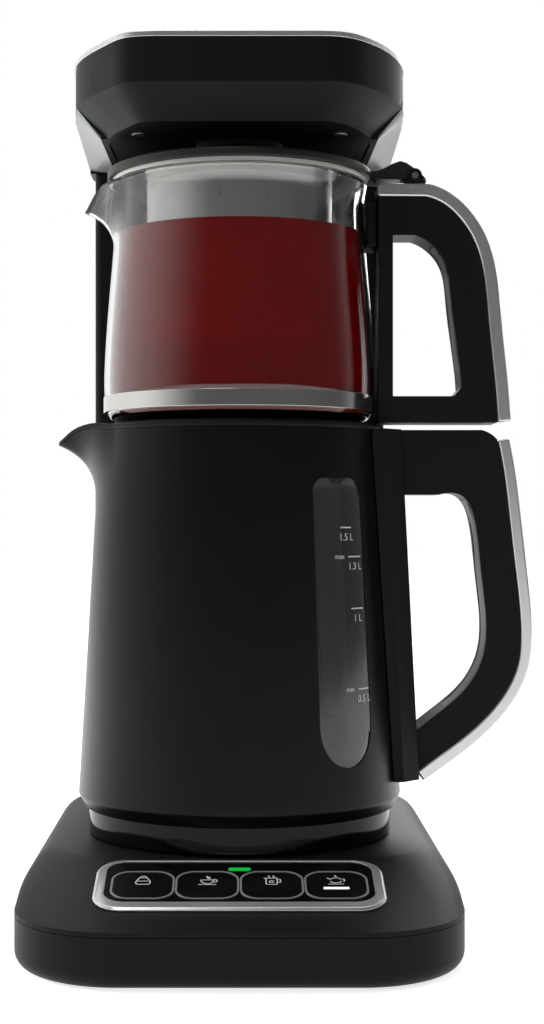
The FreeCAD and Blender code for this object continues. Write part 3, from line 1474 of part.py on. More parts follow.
def make_lid():
    """The lid with its thumb tab and knuckle, its gasket, the hinge bracket and the pin."""
    plate = turned("LidPlate", [
        (D.lid_bore + 0, D.lid_low - 1.4), (D.lid_bore + 1.6, D.lid_low - 1.4), (D.lid_bore + 3.2, D.lid_low + 0),
        (D.lid_radius + 0, D.lid_low + 0, 0.6), (D.lid_radius + 0, D.lid_top + 0, 1.2),
        (D.lid_radius - 7, D.lid_top + 0), (D.lid_radius - 10, D.lid_top - 1.6),
        (D.lid_bore + 3, D.lid_top - 2.0), (D.lid_bore + 0, D.lid_low + 0.4),
    ])
    out = D.hinge_out
    peak = D.tab_peak
    level = D.hinge_level
    tab = side_padded("LidTab", [
        (out - 30, D.lid_low + 0.2), (out - 6, D.lid_low - 0.3), (out + 3, D.lid_low - 0.3),
        (out + 5.4, D.lid_low - 0.4), (out + 4.0, level + 0.2), (out + 0.4, level + 3.4),
        (out - 3.6, peak - 0.9), (out - 6.5, peak + 0, 1.6), (out - 10, peak - 1.2),
        (out - 14, D.lid_top + 0.7), (out - 17.5, D.lid_top - 0.5), (out - 30, D.lid_top - 0.3),
    ], D.tab_half_width)
    DOC.recompute()
    bore = Part.makeCylinder(
        number(D.shaft_radius) + 0.05, 40, VECTOR(number(out), -20, number(level)), VECTOR(0, 1, 0)
    )
    hole = Part.makeCylinder(number(D.lid_bore) + 0.01, 30, VECTOR(0, 0, 325))
    lid = plate.Shape.fuse(tab.Shape.cut(hole)).cut(bore)
    keep("teapot_lid", shaped("TeapotLid", lid.removeSplitter()))
    keep("lid_gasket", turned("LidGasket", [
        (D.gasket_radius - 10, D.flange_low + D.flange_thick + 0.2),
        (D.gasket_radius + 0, D.flange_low + D.flange_thick + 0.2),
        (D.gasket_radius + 0, D.lid_low - 0.05), (D.gasket_radius - 10, D.lid_low - 0.05),
    ]))
    ear = number(D.tab_half_width + D.hinge_gap)
    thick = number(D.ear_thick)
    base = number(D.pot_spine_high) + 0.1
    pieces = [Part.makeBox(10, 2 * (ear + thick), 0.8, VECTOR(number(out) - 5, -ear - thick, base))]
    for side in (-ear - thick, ear):
        pieces.append(Part.makeBox(6.4, thick, number(level) - base, VECTOR(number(out) - 3.2, side, base)))
        pieces.append(Part.makeCylinder(
            3.2, thick, VECTOR(number(out), side, number(level)), VECTOR(0, 1, 0)
        ))
    pin_length = 2 * (ear + thick)
    pin_shape = Part.makeCylinder(
        number(D.shaft_radius), pin_length, VECTOR(number(out), -pin_length / 2, number(level)),
        VECTOR(0, 1, 0),
    )
    bracket = pieces[0].fuse(pieces[1:]).cut(pin_shape)
    keep("hinge_bracket", shaped("HingeBracket", bracket.removeSplitter()))
    keep("lid_pin", shaped("LidPin", pin_shape))


POT_GRIP_OUTER = (
    (84.8, 328.6), (94.5, 324.4), (101.7, 317.2), (107.0, 308.4), (110.9, 295.5), (113.4, 272.8),
    (116.2, 245.8), (117.8, 225.7),
)
POT_GRIP_INNER = (
    (79.8, 311.2), (88.2, 306.4), (93.4, 299.4), (96.2, 285.0), (98.4, 266.0), (100.6, 249.7),
    (101.2, 241.6),
)


def make_pot_handle():
    """The teapot's handle: strip and grip loop in one, its liner, its spine and the clamp boss."""
    half = number(D.pot_grip_half_width)
    left = number(D.pot_strip_in)
    strip = number(D.pot_strip_out)
    low = number(D.pot_grip_low)
    floor = number(D.pot_opening_low)
    top = number(D.pot_spine_low)
    roof = POT_GRIP_INNER[0][1]
    outside = [
        side_line((left, low), (left, top)), side_line((left, top), POT_GRIP_OUTER[0]),
        curve_through(side_points(POT_GRIP_OUTER)), side_line(POT_GRIP_OUTER[-1], (left, low)),
    ]
    inside = [
        side_line((strip, floor), (strip, roof)), side_line((strip, roof), POT_GRIP_INNER[0]),
        curve_through(side_points(POT_GRIP_INNER)),
        side_line(POT_GRIP_INNER[-1], (POT_GRIP_INNER[-1][0] - 3.5, floor)),
        side_line((POT_GRIP_INNER[-1][0] - 3.5, floor), (strip, floor)),
    ]
    loop = side_band(Part.__sortEdges__(outside), half)
    loop = loop.cut(side_band(Part.__sortEdges__(inside), half + 1))
    thick = number(D.liner_thick)
    liner_half = number(D.liner_half_width) - 0.5
    line = POT_GRIP_INNER[1:-1]
    recess = curve_band(moved_out(line, -1.0), moved_out(line, thick), liner_half)
    liner = curve_band(moved_out(line, 0.1), moved_out(line, thick - 0.1), liner_half - 0.15)
    outer = [(left, number(D.pot_spine_high))] + [(84.6, number(D.pot_spine_high))]
    spine_line = moved_out(POT_GRIP_OUTER, 6.2)[1:]
    edges = [
        side_line((left, top), POT_GRIP_OUTER[0]),
        curve_through(side_points(POT_GRIP_OUTER)),
        side_line(POT_GRIP_OUTER[-1], spine_line[-1]),
        curve_through(side_points([(86.5, number(D.pot_spine_high) - 0.2)] + list(spine_line))),
        side_line((86.5, number(D.pot_spine_high) - 0.2), outer[1]),
        side_line(outer[1], outer[0]),
        side_line(outer[0], (left, top)),
    ]
    spine = side_band(Part.__sortEdges__(edges), half)
    grip = loop.cut(recess)
    keep("teapot_grip", shaped("TeapotGrip", grip.removeSplitter()))
    keep("teapot_liner", shaped("TeapotLiner", liner))
    keep("teapot_spine", shaped("TeapotSpine", spine))
    boss = Part.makeBox(
        30, 2 * number(D.boss_half_width), number(D.boss_high - D.boss_low),
        VECTOR(left - 0.1 - 30, -number(D.boss_half_width), number(D.boss_low)),
    )
    around = Part.makeCone(
        glass_radius(number(D.boss_low)) + 0.3, glass_radius(number(D.boss_high)) + 0.5,
        number(D.boss_high - D.boss_low), VECTOR(0, 0, number(D.boss_low)),
    )
    keep("clamp_boss", shaped("ClampBoss", boss.cut(around)))


def finish():
    """Checks every object and sub-part, then writes one file for each sub-part."""
    DOC.recompute()
    for item in DOC.Objects:
        if "Invalid" in item.State or "Error" in item.State:
            raise SystemExit(f"{item.Name} ({item.Label}) is not well made: {item.State}")
    os.makedirs("parts", exist_ok=True)
    for node, feature in PARTS.items():
        shape = feature.Shape
        if shape.isNull() or not shape.isValid() or not shape.Solids:
            raise SystemExit(f"{node} has no valid solid")
        shape.exportStep(os.path.join("parts", node + ".step"))
        print(f"{node}: {len(shape.Solids)} solid(s), {shape.Volume:.0f} cubic mm")


def main():
    """Builds the tea maker."""
    write_sheet()
    make_base()
    make_gland()
    make_panel()
    make_connector()
    make_pump()
    make_hoses()
    make_power_board()
    make_column()
    make_head()
    make_kettle()
    make_kettle_handle()
    make_glass()
    make_infuser()
    make_lid()
    make_pot_handle()
    finish()


if __name__ == "__main__":
    main()
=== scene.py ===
"""Looks of the automatic tea maker: the kettle, the glass teapot and the tower on their powered base.

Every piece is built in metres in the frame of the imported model: origin on the standing plane at the
kettle's axis, +X towards the handles, -Y towards the control panel, +Z up.
"""

from __future__ import annotations

import json
import logging
import math
from dataclasses import dataclass, field
from enum import Enum

import bmesh
import bpy
import numpy as np
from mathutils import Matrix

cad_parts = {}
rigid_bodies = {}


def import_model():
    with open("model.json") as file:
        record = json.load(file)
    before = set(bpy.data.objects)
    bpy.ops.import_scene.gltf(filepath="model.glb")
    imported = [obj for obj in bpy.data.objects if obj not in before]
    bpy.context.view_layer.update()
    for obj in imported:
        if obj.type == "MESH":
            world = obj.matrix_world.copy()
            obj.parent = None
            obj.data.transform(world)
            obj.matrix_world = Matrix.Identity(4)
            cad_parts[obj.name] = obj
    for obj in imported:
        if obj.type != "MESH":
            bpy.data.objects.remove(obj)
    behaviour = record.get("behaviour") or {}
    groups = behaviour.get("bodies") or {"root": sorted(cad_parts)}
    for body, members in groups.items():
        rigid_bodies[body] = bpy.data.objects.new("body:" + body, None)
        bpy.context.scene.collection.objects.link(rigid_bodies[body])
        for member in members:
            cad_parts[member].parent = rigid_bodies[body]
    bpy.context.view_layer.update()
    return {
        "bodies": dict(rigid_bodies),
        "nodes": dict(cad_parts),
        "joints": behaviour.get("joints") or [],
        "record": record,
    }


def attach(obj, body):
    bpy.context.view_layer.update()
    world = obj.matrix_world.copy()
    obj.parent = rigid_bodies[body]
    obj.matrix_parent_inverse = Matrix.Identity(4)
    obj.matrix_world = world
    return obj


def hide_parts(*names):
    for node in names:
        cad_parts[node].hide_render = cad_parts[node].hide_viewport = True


LOG = logging.getLogger("tea_maker")
MM = 0.001
# Steps round the axis of a turned piece
RINGS = 256
# The socket numbers of a colour Mix node, whose names its other kinds share
MIX_FACTOR, MIX_FIRST, MIX_SECOND, MIX_RESULT = 0, 6, 7, 2
# The size of the cloudy patches in every finish, and the depth of its finest relief
CLOUD_MM = 28.0
RELIEF_MM = 0.1
# The infuser's wall: its radius, and the levels between which its holes fade out under the plain rim
BASKET_RADIUS = 42.8
HOLES_FADE = (312.5, 313.5)
# Painted shade in the infuser's holes, for the dark inside that would show through them
HOLE_SHADE = "#141414"
WHITE = "#ffffff"
# Pairs of a node's name and the width in millimetres to which its edges are rounded
Roundings = tuple[tuple[str, float], ...]


class Key(Enum):
    """The keys from left to right, by the name of their node, which is also that of their body."""

    WARM_WATER = "key_warm_water"
    COFFEE = "key_coffee"
    BOIL = "key_boil"
    BREW = "key_brew"


def linear(hex_colour: str) -> tuple[float, float, float, float]:
    """Turns an sRGB hex colour into linear red, green, blue and a full alpha.

    Args:
        hex_colour: Six hex digits after a hash sign.

    Returns:
        The linear colour with alpha one.
    """
    srgb = [int(hex_colour[k : k + 2], 16) / 255 for k in (1, 3, 5)]
    red, green, blue = (c / 12.92 if c <= 0.04045 else ((c + 0.055) / 1.055) ** 2.4 for c in srgb)
    return red, green, blue, 1.0


def add_node(
    tree: bpy.types.NodeTree, kind: str, settings: dict | None = None, links: dict | None = None
) -> bpy.types.Node:
    """Adds a node, sets its properties and sockets, and links its inputs.

    Args:
        tree: The node tree.
        kind: The node's type name.
        settings: Property names, and socket names or numbers, with their values.
        links: Input socket names or numbers, with the output sockets that feed them.

    Returns:
        The new node.
    """
    node = tree.nodes.new(kind)
    for name, value in (settings or {}).items():
        if isinstance(name, int) or name in node.inputs:
            node.inputs[name].default_value = value
        else:
            setattr(node, name, value)
    for name, source in (links or {}).items():
        tree.links.new(source, node.inputs[name])
    return node


@dataclass(frozen=True)
class Finish:
    """One surface finish: a principled shader with fine variation over the surface.

    Sizes of patterns are real ones in millimetres.
    """

    name: str
    colour: str
    second: str
    roughness: float
    metallic: float = 0.0
    ior: float = 1.5
    grain_mm: float = 0.6
    bump: float = 0.05
    transmission: float = 0.0
    glow: float = 0.0
    stretch: tuple[float, float, float] = (1.0, 1.0, 1.0)
    rough_spread: float = 0.06
    specular: float = 0.5
    depth_density: float = 0.0
    hole_pitch_mm: float = 0.0

    def build(self) -> bpy.types.Material:
        """Makes the material: cloudy colour, uneven roughness and a fine bump on Object coordinates.

        Returns:
            The material.
        """
        material = bpy.data.materials.new(self.name)
        material.use_nodes = True
        tree = material.node_tree
        tree.nodes.clear()
        place = add_node(tree, "ShaderNodeTexCoord").outputs["Object"]
        stretched = add_node(tree, "ShaderNodeMapping", {"Scale": self.stretch}, {"Vector": place})
        cloud, grain = (
            add_node(
                tree, "ShaderNodeTexNoise", {"Scale": 1 / (size_mm * MM), "Detail": detail},
                {"Vector": stretched.outputs["Vector"]},
            ).outputs["Fac"]
            for size_mm, detail in ((CLOUD_MM, 2.0), (self.grain_mm, 3.0))
        )
        tint = add_node(
            tree, "ShaderNodeMix",
            {"data_type": "RGBA", MIX_FIRST: linear(self.colour), MIX_SECOND: linear(self.second)},
            {MIX_FACTOR: cloud},
        )
        rough = add_node(
            tree, "ShaderNodeMapRange",
            {"To Min": max(self.roughness - self.rough_spread, 0.0),
             "To Max": min(self.roughness + self.rough_spread, 1.0)},
            {"Value": grain},
        )
        shader = add_node(
            tree, "ShaderNodeBsdfPrincipled",
            {"Metallic": self.metallic, "IOR": self.ior, "Transmission Weight": self.transmission,
             "Specular IOR Level": self.specular},
            {"Base Color": self.pierced(tree, place, tint.outputs[MIX_RESULT]),
             "Roughness": rough.outputs["Result"]},
        )
        if self.bump > 0:
            relief = add_node(
                tree, "ShaderNodeBump", {"Strength": self.bump, "Distance": RELIEF_MM * MM},
                {"Height": grain}
            )
            tree.links.new(relief.outputs["Normal"], shader.inputs["Normal"])
        if self.glow > 0:
            shader.inputs["Emission Color"].default_value = linear(self.colour)
            shader.inputs["Emission Strength"].default_value = self.glow
        output = add_node(tree, "ShaderNodeOutputMaterial", links={"Surface": shader.outputs["BSDF"]})
        if self.depth_density > 0:
            depth = add_node(
                tree, "ShaderNodeVolumeAbsorption",
                {"Color": linear(self.colour), "Density": self.depth_density},
            )
            tree.links.new(depth.outputs["Volume"], output.inputs["Volume"])
        return material

    def pierced(
        self, tree: bpy.types.NodeTree, place: bpy.types.NodeSocket, colour: bpy.types.NodeSocket
    ) -> bpy.types.NodeSocket:
        """Paints shade at round holes in staggered rows round the vertical axis, for the dark inside seen
        through them.

        A hole is where sin(u) * sin(v) is high, with u the way round and v the height over the pitch.

        Args:
            tree: The material's node tree.
            place: The socket with Object coordinates.
            colour: The colour between the holes.

        Returns:
            The socket of the colour with painted shade at the holes, or the colour itself where there are
            none.
        """
        if not self.hole_pitch_mm:
            return colour
        split = add_node(tree, "ShaderNodeSeparateXYZ", links={"Vector": place})
        turn = add_node(
            tree, "ShaderNodeMath", {"operation": "ARCTAN2"}, {0: split.outputs["Y"], 1: split.outputs["X"]}
        )
        rates = (
            (turn.outputs[0], round(math.pi * BASKET_RADIUS / self.hole_pitch_mm)),
            (split.outputs["Z"], math.pi / self.hole_pitch_mm / MM),
        )
        waves = {}
        for slot, (source, rate) in enumerate(rates):
            scaled = add_node(tree, "ShaderNodeMath", {"operation": "MULTIPLY", 1: rate}, {0: source})
            wave = add_node(tree, "ShaderNodeMath", {"operation": "SINE"}, {0: scaled.outputs[0]})
            waves[slot] = wave.outputs[0]
        both = add_node(tree, "ShaderNodeMath", {"operation": "MULTIPLY"}, waves)
        hole_rim, hole_middle, hole_shade_depth = 0.25, 0.5, 0.85
        edge = add_node(
            tree, "ShaderNodeMapRange",
            {"From Min": hole_rim, "From Max": hole_middle, "To Min": 0.0, "To Max": hole_shade_depth},
            {"Value": both.outputs[0]},
        )
        band = add_node(
            tree, "ShaderNodeMapRange",
            {"From Min": HOLES_FADE[1] * MM, "From Max": HOLES_FADE[0] * MM, "To Min": 0.0, "To Max": 1.0},
            {"Value": split.outputs["Z"]},
        )
        share = add_node(
            tree, "ShaderNodeMath", {"operation": "MULTIPLY"},
            {0: edge.outputs["Result"], 1: band.outputs["Result"]},
        )
        # Painted shade: the colour darkened where a hole lets the dark inside show
        dark = add_node(
            tree, "ShaderNodeMix", {"data_type": "RGBA", MIX_SECOND: linear(HOLE_SHADE)},
            {MIX_FACTOR: share.outputs[0], MIX_FIRST: colour},
        )
        return dark.outputs[MIX_RESULT]


# Moulded ABS: fine spark texture, so highlights are broad, dull and weak
MOULDED_BLACK = Finish(
    "moulded_black_abs", "#0d0d0e", "#121213", 0.46, grain_mm=0.45, bump=0.18, specular=0.14
)
# The base's cover is the moulded black painted a touch lighter: painted light, for a top that picks up a
# touch more light than its skirt
PAINTED_LIT_BASE_BLACK = Finish(
    "moulded_black_base_painted_lit", "#0e0e0f", "#131314", 0.48, grain_mm=0.45, bump=0.2, specular=0.14
)
# Polished ABS: sharp reflections
GLOSS_BLACK = Finish("polished_black_abs", "#060607", "#09090a", 0.09, bump=0.0, specular=0.15)
# Coated steel: metal flake under a satin clear coat, a soft tall highlight
SATIN_STEEL = Finish(
    "satin_black_coated_steel", "#1a1a1b", "#1f1f20", 0.33, metallic=0.8, grain_mm=0.35, bump=0.05,
    specular=0.3,
)
# Polished stainless steel: bright, with soft dark bands where it meets the room
BRIGHT_STEEL = Finish(
    "polished_stainless_steel", "#dcdad7", "#d2d0cd", 0.14, metallic=1.0, grain_mm=1.2, bump=0.02,
    rough_spread=0.04,
)
# Etched and brushed stainless sheet: fine holes, drawn as painted shade as coarse as they need to be to show
PIERCED_STEEL = Finish(
    "pierced_stainless_sheet", "#b9b7b4", "#a5a3a1", 0.3, metallic=1.0, grain_mm=0.5, bump=0.08,
    stretch=(1.0, 1.0, 0.05), hole_pitch_mm=0.9,
)
# Vacuum-metallised trim: bright and cool
METAL_TRIM = Finish(
    "satin_chrome_trim", "#d6d6d7", "#cccccd", 0.2, metallic=0.7, grain_mm=1.0, bump=0.02, rough_spread=0.04
)
# Light grey lacquer on the head's side rails
LIGHT_LACQUER = Finish("light_grey_lacquer", "#9c9e9f", "#949697", 0.34, specular=0.3, bump=0.03)
# Back-painted panel glass: a sharp weak reflection over black
PANEL_BLACK = Finish("back_painted_glass", "#08080a", "#0a0a0c", 0.05, ior=1.52, bump=0.0, specular=0.4)
# Polished keys flush with the glass
KEY_BLACK = Finish("gloss_black_keys", "#0b0b0d", "#0f0f11", 0.12, ior=1.52, bump=0.0, specular=0.4)
# Smoky polycarbonate: grey, half clear, with the moulding's faint haze
SMOKY_CLEAR = Finish(
    "smoky_polycarbonate", "#9a9c9e", "#949698", 0.1, ior=1.58, bump=0.0, transmission=0.93,
    rough_spread=0.03, specular=0.3,
)
# The paler chamber wall seen through the window
CHAMBER_GREY = Finish("grained_grey_polypropylene", "#77797b", "#6f7174", 0.55, grain_mm=0.8, bump=0.2)
# Borosilicate glass
CLEAR_GLASS = Finish(
    "borosilicate_glass", "#fbfdfd", "#f9fcfb", 0.01, ior=1.47, bump=0.0, transmission=1.0,
    rough_spread=0.005, specular=0.2,
)
# Brewed black tea: only deep red comes through, and it darkens with depth
RED_TEA = Finish(
    "brewed_tea", "#b00200", "#980100", 0.02, ior=1.33, bump=0.0, transmission=0.5, rough_spread=0.005,
    specular=0.03, depth_density=20.0,
)
# Soft-touch rubber: a dull dark sheen
SOFT_RUBBER = Finish("soft_black_rubber", "#0d0d0e", "#121213", 0.4, grain_mm=0.4, bump=0.1, specular=0.3)
# Food-grade silicone: milky and matte
SILICONE = Finish("milky_silicone", "#d4d2cc", "#c9c7c0", 0.5, bump=0.05)
# Moulded polypropylene of the hidden parts
GREY_MOULDING = Finish("grey_polypropylene", "#5a5b5d", "#525355", 0.55, bump=0.15)
# Solder-masked board
BOARD = Finish("green_circuit_board", "#1d5a33", "#174c2a", 0.4, bump=0.1)
# Zinc plating: grey and slightly cloudy
PLATED = Finish("zinc_plated_steel", "#a9abac", "#97999a", 0.35, metallic=1.0, bump=0.05)
# Screen print: flat opaque white
WHITE_PRINT = Finish("white_screen_print", "#d8dadb", "#d0d2d3", 0.5, bump=0.0)
# Lit lenses: they glow softly from within
GREEN_LIGHT = Finish("lit_green_lens", "#12a53a", "#0f9a35", 0.25, bump=0.0, glow=0.5)
WHITE_LIGHT = Finish("lit_white_lens", "#f4f7f8", "#eef2f3", 0.25, bump=0.0, glow=0.6)
# The lid's ring: dark grey with a broad soft light
LID_GREY = Finish("moulded_dark_grey_abs", "#1d1d1e", "#232324", 0.4, grain_mm=0.5, bump=0.1, specular=0.3)

CAD_FINISHES = {
    "base_cover": PAINTED_LIT_BASE_BLACK, "base_tray": MOULDED_BLACK, "rubber_feet": SOFT_RUBBER, "base_screws": PLATED,
    "cord_gland": SOFT_RUBBER, "panel_bezel": METAL_TRIM, "panel_glass": PANEL_BLACK,
    "status_lens": GREEN_LIGHT, "key_rings": METAL_TRIM, "key_switches": GREY_MOULDING, "key_board": BOARD,
    "board_pillars": GREY_MOULDING, "base_connector": GREY_MOULDING, "pump_housing": GREY_MOULDING,
    "pump_motor": PLATED, "pump_rotor": GREY_MOULDING, "inlet_hose": SILICONE, "riser_hose": SILICONE,
    "power_board": BOARD, "column_front_cover": MOULDED_BLACK, "column_rear_cover": MOULDED_BLACK,
    "head_shell": MOULDED_BLACK, "side_rail_left": LIGHT_LACQUER, "side_rail_right": LIGHT_LACQUER,
    "head_trim": METAL_TRIM, "head_top_cover": MOULDED_BLACK, "head_underside": MOULDED_BLACK,
    "head_screws": PLATED, "shower_head": MOULDED_BLACK, "kettle_body": SATIN_STEEL,
    "water_window": SMOKY_CLEAR, "window_seal": SOFT_RUBBER, "kettle_collar": GLOSS_BLACK,
    "kettle_socket": GREY_MOULDING, "heating_plate": BRIGHT_STEEL, "heating_ring": PLATED,
    "valve_body": GREY_MOULDING, "valve_poppet": GREY_MOULDING, "valve_spring": PLATED,
    "kettle_rim": MOULDED_BLACK, "handle_mount": MOULDED_BLACK, "handle_grip": MOULDED_BLACK,
    "handle_liner": SOFT_RUBBER, "handle_spine": METAL_TRIM, "teapot_glass": CLEAR_GLASS,
    "teapot_band": BRIGHT_STEEL, "infuser_basket": PIERCED_STEEL, "teapot_lid": LID_GREY,
    "lid_gasket": SILICONE, "hinge_bracket": MOULDED_BLACK, "lid_pin": BRIGHT_STEEL,
    "teapot_grip": MOULDED_BLACK, "teapot_liner": SOFT_RUBBER, "teapot_spine": METAL_TRIM,
    "clamp_boss": MOULDED_BLACK, "key_warm_water": KEY_BLACK, "key_coffee": KEY_BLACK,
    "key_boil": KEY_BLACK, "key_brew": KEY_BLACK,
}


class Workshop:
    """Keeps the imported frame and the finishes, and puts finished pieces into the scene."""

    def __init__(self, frame: dict) -> None:
        """Takes the loaded frame."""
        self.frame = frame
        self.made: dict[str, bpy.types.Material] = {}

    def finish(self, finish: Finish) -> bpy.types.Material:
        """The material of a finish, made once."""
        if finish.name not in self.made:
            self.made[finish.name] = finish.build()
        return self.made[finish.name]

    def dress_nodes(self) -> None:
        """Gives every carried-over node its finish."""
        for name, node in self.frame["nodes"].items():
            node.data.materials.clear()
            node.data.materials.append(self.finish(CAD_FINISHES[name]))

    def add(
        self, name: str, mesh: bpy.types.Mesh, finish: Finish, body: str, replaced: tuple[str, ...] = (),
        sharp: float = 35.0,
    ) -> bpy.types.Object:
        """Puts a mesh into the scene as a piece that rides on a body.

        Args:
            name: The piece's name.
            mesh: Its mesh, already in its place.
            finish: Its finish.
            body: The body it moves with.
            replaced: The nodes that it stands for.
            sharp: The angle in degrees past which an edge stays sharp.

        Returns:
            The piece.
        """
        mesh.materials.clear()
        mesh.materials.append(self.finish(finish))
        mesh.shade_smooth()
        mesh.set_sharp_from_angle(angle=math.radians(sharp))
        piece = bpy.data.objects.new(name, mesh)
        bpy.context.scene.collection.objects.link(piece)
        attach(piece, body)
        if replaced:
            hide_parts(*replaced)
        LOG.info("%s rides on %s", name, body)
        return piece

    def softened(self, node: str, radius_mm: float, body: str) -> bpy.types.Object:
        """A copy of a node with its hard edges rounded, which stands for the node.

        Args:
            node: The node's name.
            radius_mm: The width of the rounding.
            body: The body it moves with.

        Returns:
            The piece.
        """
        merged_mm, flat_degrees, sharp_degrees = 0.002, 1.0, 40.0
        mesh = self.frame["nodes"][node].data.copy()
        form = bmesh.new()
        form.from_mesh(mesh)
        bmesh.ops.remove_doubles(form, verts=form.verts, dist=merged_mm * MM)
        bmesh.ops.dissolve_limit(
            form, angle_limit=math.radians(flat_degrees), use_dissolve_boundaries=False, verts=form.verts,
            edges=form.edges,
        )
        form.to_mesh(mesh)
        form.free()
        piece = self.add(node + "_skin", mesh, CAD_FINISHES[node], body, (node,), sharp_degrees)
        bevel = piece.modifiers.new("rounding", "BEVEL")
        bevel.width = radius_mm * MM
        bevel.segments = 3
        bevel.limit_method = "ANGLE"
        bevel.angle_limit = math.radians(sharp_degrees)
        bevel.harden_normals = True
        return piece


def mesh_from_grid(
    name: str, points: np.ndarray, closed_across: bool = True, closed_along: bool = False, flip: bool = False
) -> bpy.types.Mesh:
    """A quad mesh over a grid of points, with coincident points merged.

    Args:
        name: The mesh's name.
        points: Rows along, columns across and three coordinates in millimetres.
        closed_across: Whether the last column joins the first.
        closed_along: Whether the last row joins the first.
        flip: Whether to turn the faces round.

    Returns:
        The mesh in metres.
    """
    merged_mm = 0.001
    rows, columns = points.shape[:2]
    down = np.arange(rows if closed_along else rows - 1)
    over = np.arange(columns if closed_across else columns - 1)
    row, column = (a.ravel() for a in np.meshgrid(down, over, indexing="ij"))
    next_row = (row + 1) % rows
    next_column = (column + 1) % columns
    quads = np.stack(
        [row * columns + column, row * columns + next_column, next_row * columns + next_column,
         next_row * columns + column], axis=1,
    )
    if flip:
        quads = quads[:, ::-1]
    mesh = bpy.data.meshes.new(name)
    mesh.vertices.add(rows * columns)
    mesh.vertices.foreach_set("co", (points.reshape(-1, 3) * MM).astype(np.float32).ravel())
    mesh.loops.add(quads.size)
    mesh.loops.foreach_set("vertex_index", quads.astype(np.int32).ravel())
    mesh.polygons.add(len(quads))
    mesh.polygons.foreach_set("loop_start", np.arange(0, quads.size, 4, dtype=np.int32))
    mesh.update(calc_edges=True)
    mesh.validate()
    form = bmesh.new()
    form.from_mesh(mesh)
    bmesh.ops.remove_doubles(form, verts=form.verts, dist=merged_mm * MM)
    form.to_mesh(mesh)
    form.free()
    return mesh


def joined_mesh(name: str, meshes: list[bpy.types.Mesh]) -> bpy.types.Mesh:
    """One mesh that holds several, which are removed.

    Args:
        name: The new mesh's name.
        meshes: The meshes to hold.

    Returns:
        The new mesh.
    """
    form = bmesh.new()
    for mesh in meshes:
        form.from_mesh(mesh)
        bpy.data.meshes.remove(mesh)
    whole = bpy.data.meshes.new(name)
    form.to_mesh(whole)
    form.free()
    return whole


def closed_up(mesh: bpy.types.Mesh) -> bpy.types.Mesh:
    """Fills a mesh's open ends and turns its faces outwards.

    Args:
        mesh: The mesh to change.

    Returns:
        The same mesh.
    """
    form = bmesh.new()
    form.from_mesh(mesh)
    bmesh.ops.holes_fill(form, edges=[edge for edge in form.edges if edge.is_boundary])
    bmesh.ops.recalc_face_normals(form, faces=form.faces)
    form.to_mesh(mesh)
    form.free()
    return mesh


def rounded(profile: list[tuple[float, ...]], steps: int = 6) -> np.ndarray:
    """A profile line whose corners (a, b, radius) become arcs of that radius.

    Each arc touches both legs at radius divided by the tangent of half the corner's angle.

    Args:
        profile: Corners as (a, b) or (a, b, radius).
        steps: Points on each arc.

    Returns:
        The points of the line.
    """
    points = []
    for k, corner in enumerate(profile):
        here = np.array(corner[:2], float)
        if len(corner) < 3 or k in (0, len(profile) - 1):
            points.append(here)
            continue
        back = np.array(profile[k - 1][:2], float) - here
        on = np.array(profile[k + 1][:2], float) - here
        back /= np.linalg.norm(back)
        on /= np.linalg.norm(on)
        half = math.acos(float(np.clip(back @ on, -1, 1))) / 2
        reach = corner[2] / math.tan(half)
        middle = (back + on) / np.linalg.norm(back + on)
        centre = here + middle * corner[2] / math.sin(half)
        start, end = here + back * reach - centre, here + on * reach - centre
        turn = math.atan2(start[0] * end[1] - start[1] * end[0], start @ end)
        for share in np.linspace(0, 1, steps):
            angle = turn * share
            spin = np.array([[math.cos(angle), -math.sin(angle)], [math.sin(angle), math.cos(angle)]])
            points.append(centre + spin @ start)
    return np.array(points)


def turned(name: str, profile: np.ndarray, closed: bool = True) -> bpy.types.Mesh:
    """A surface of revolution: the profile's (radius, level) points carried round the vertical axis.

    Args:
        name: The mesh's name.
        profile: Points of (radius, level) in millimetres, counter-clockwise in the radius-level plane.
        closed: Whether the profile's last point joins its first.

    Returns:
        The mesh.
    """
    angle = np.linspace(0, 2 * math.pi, RINGS, endpoint=False)
    radius, level = profile[:, 0][:, None], profile[:, 1][:, None]
    points = np.stack([radius * np.cos(angle), radius * np.sin(angle), level + 0 * angle], axis=2)
    return mesh_from_grid(name, points, True, closed)


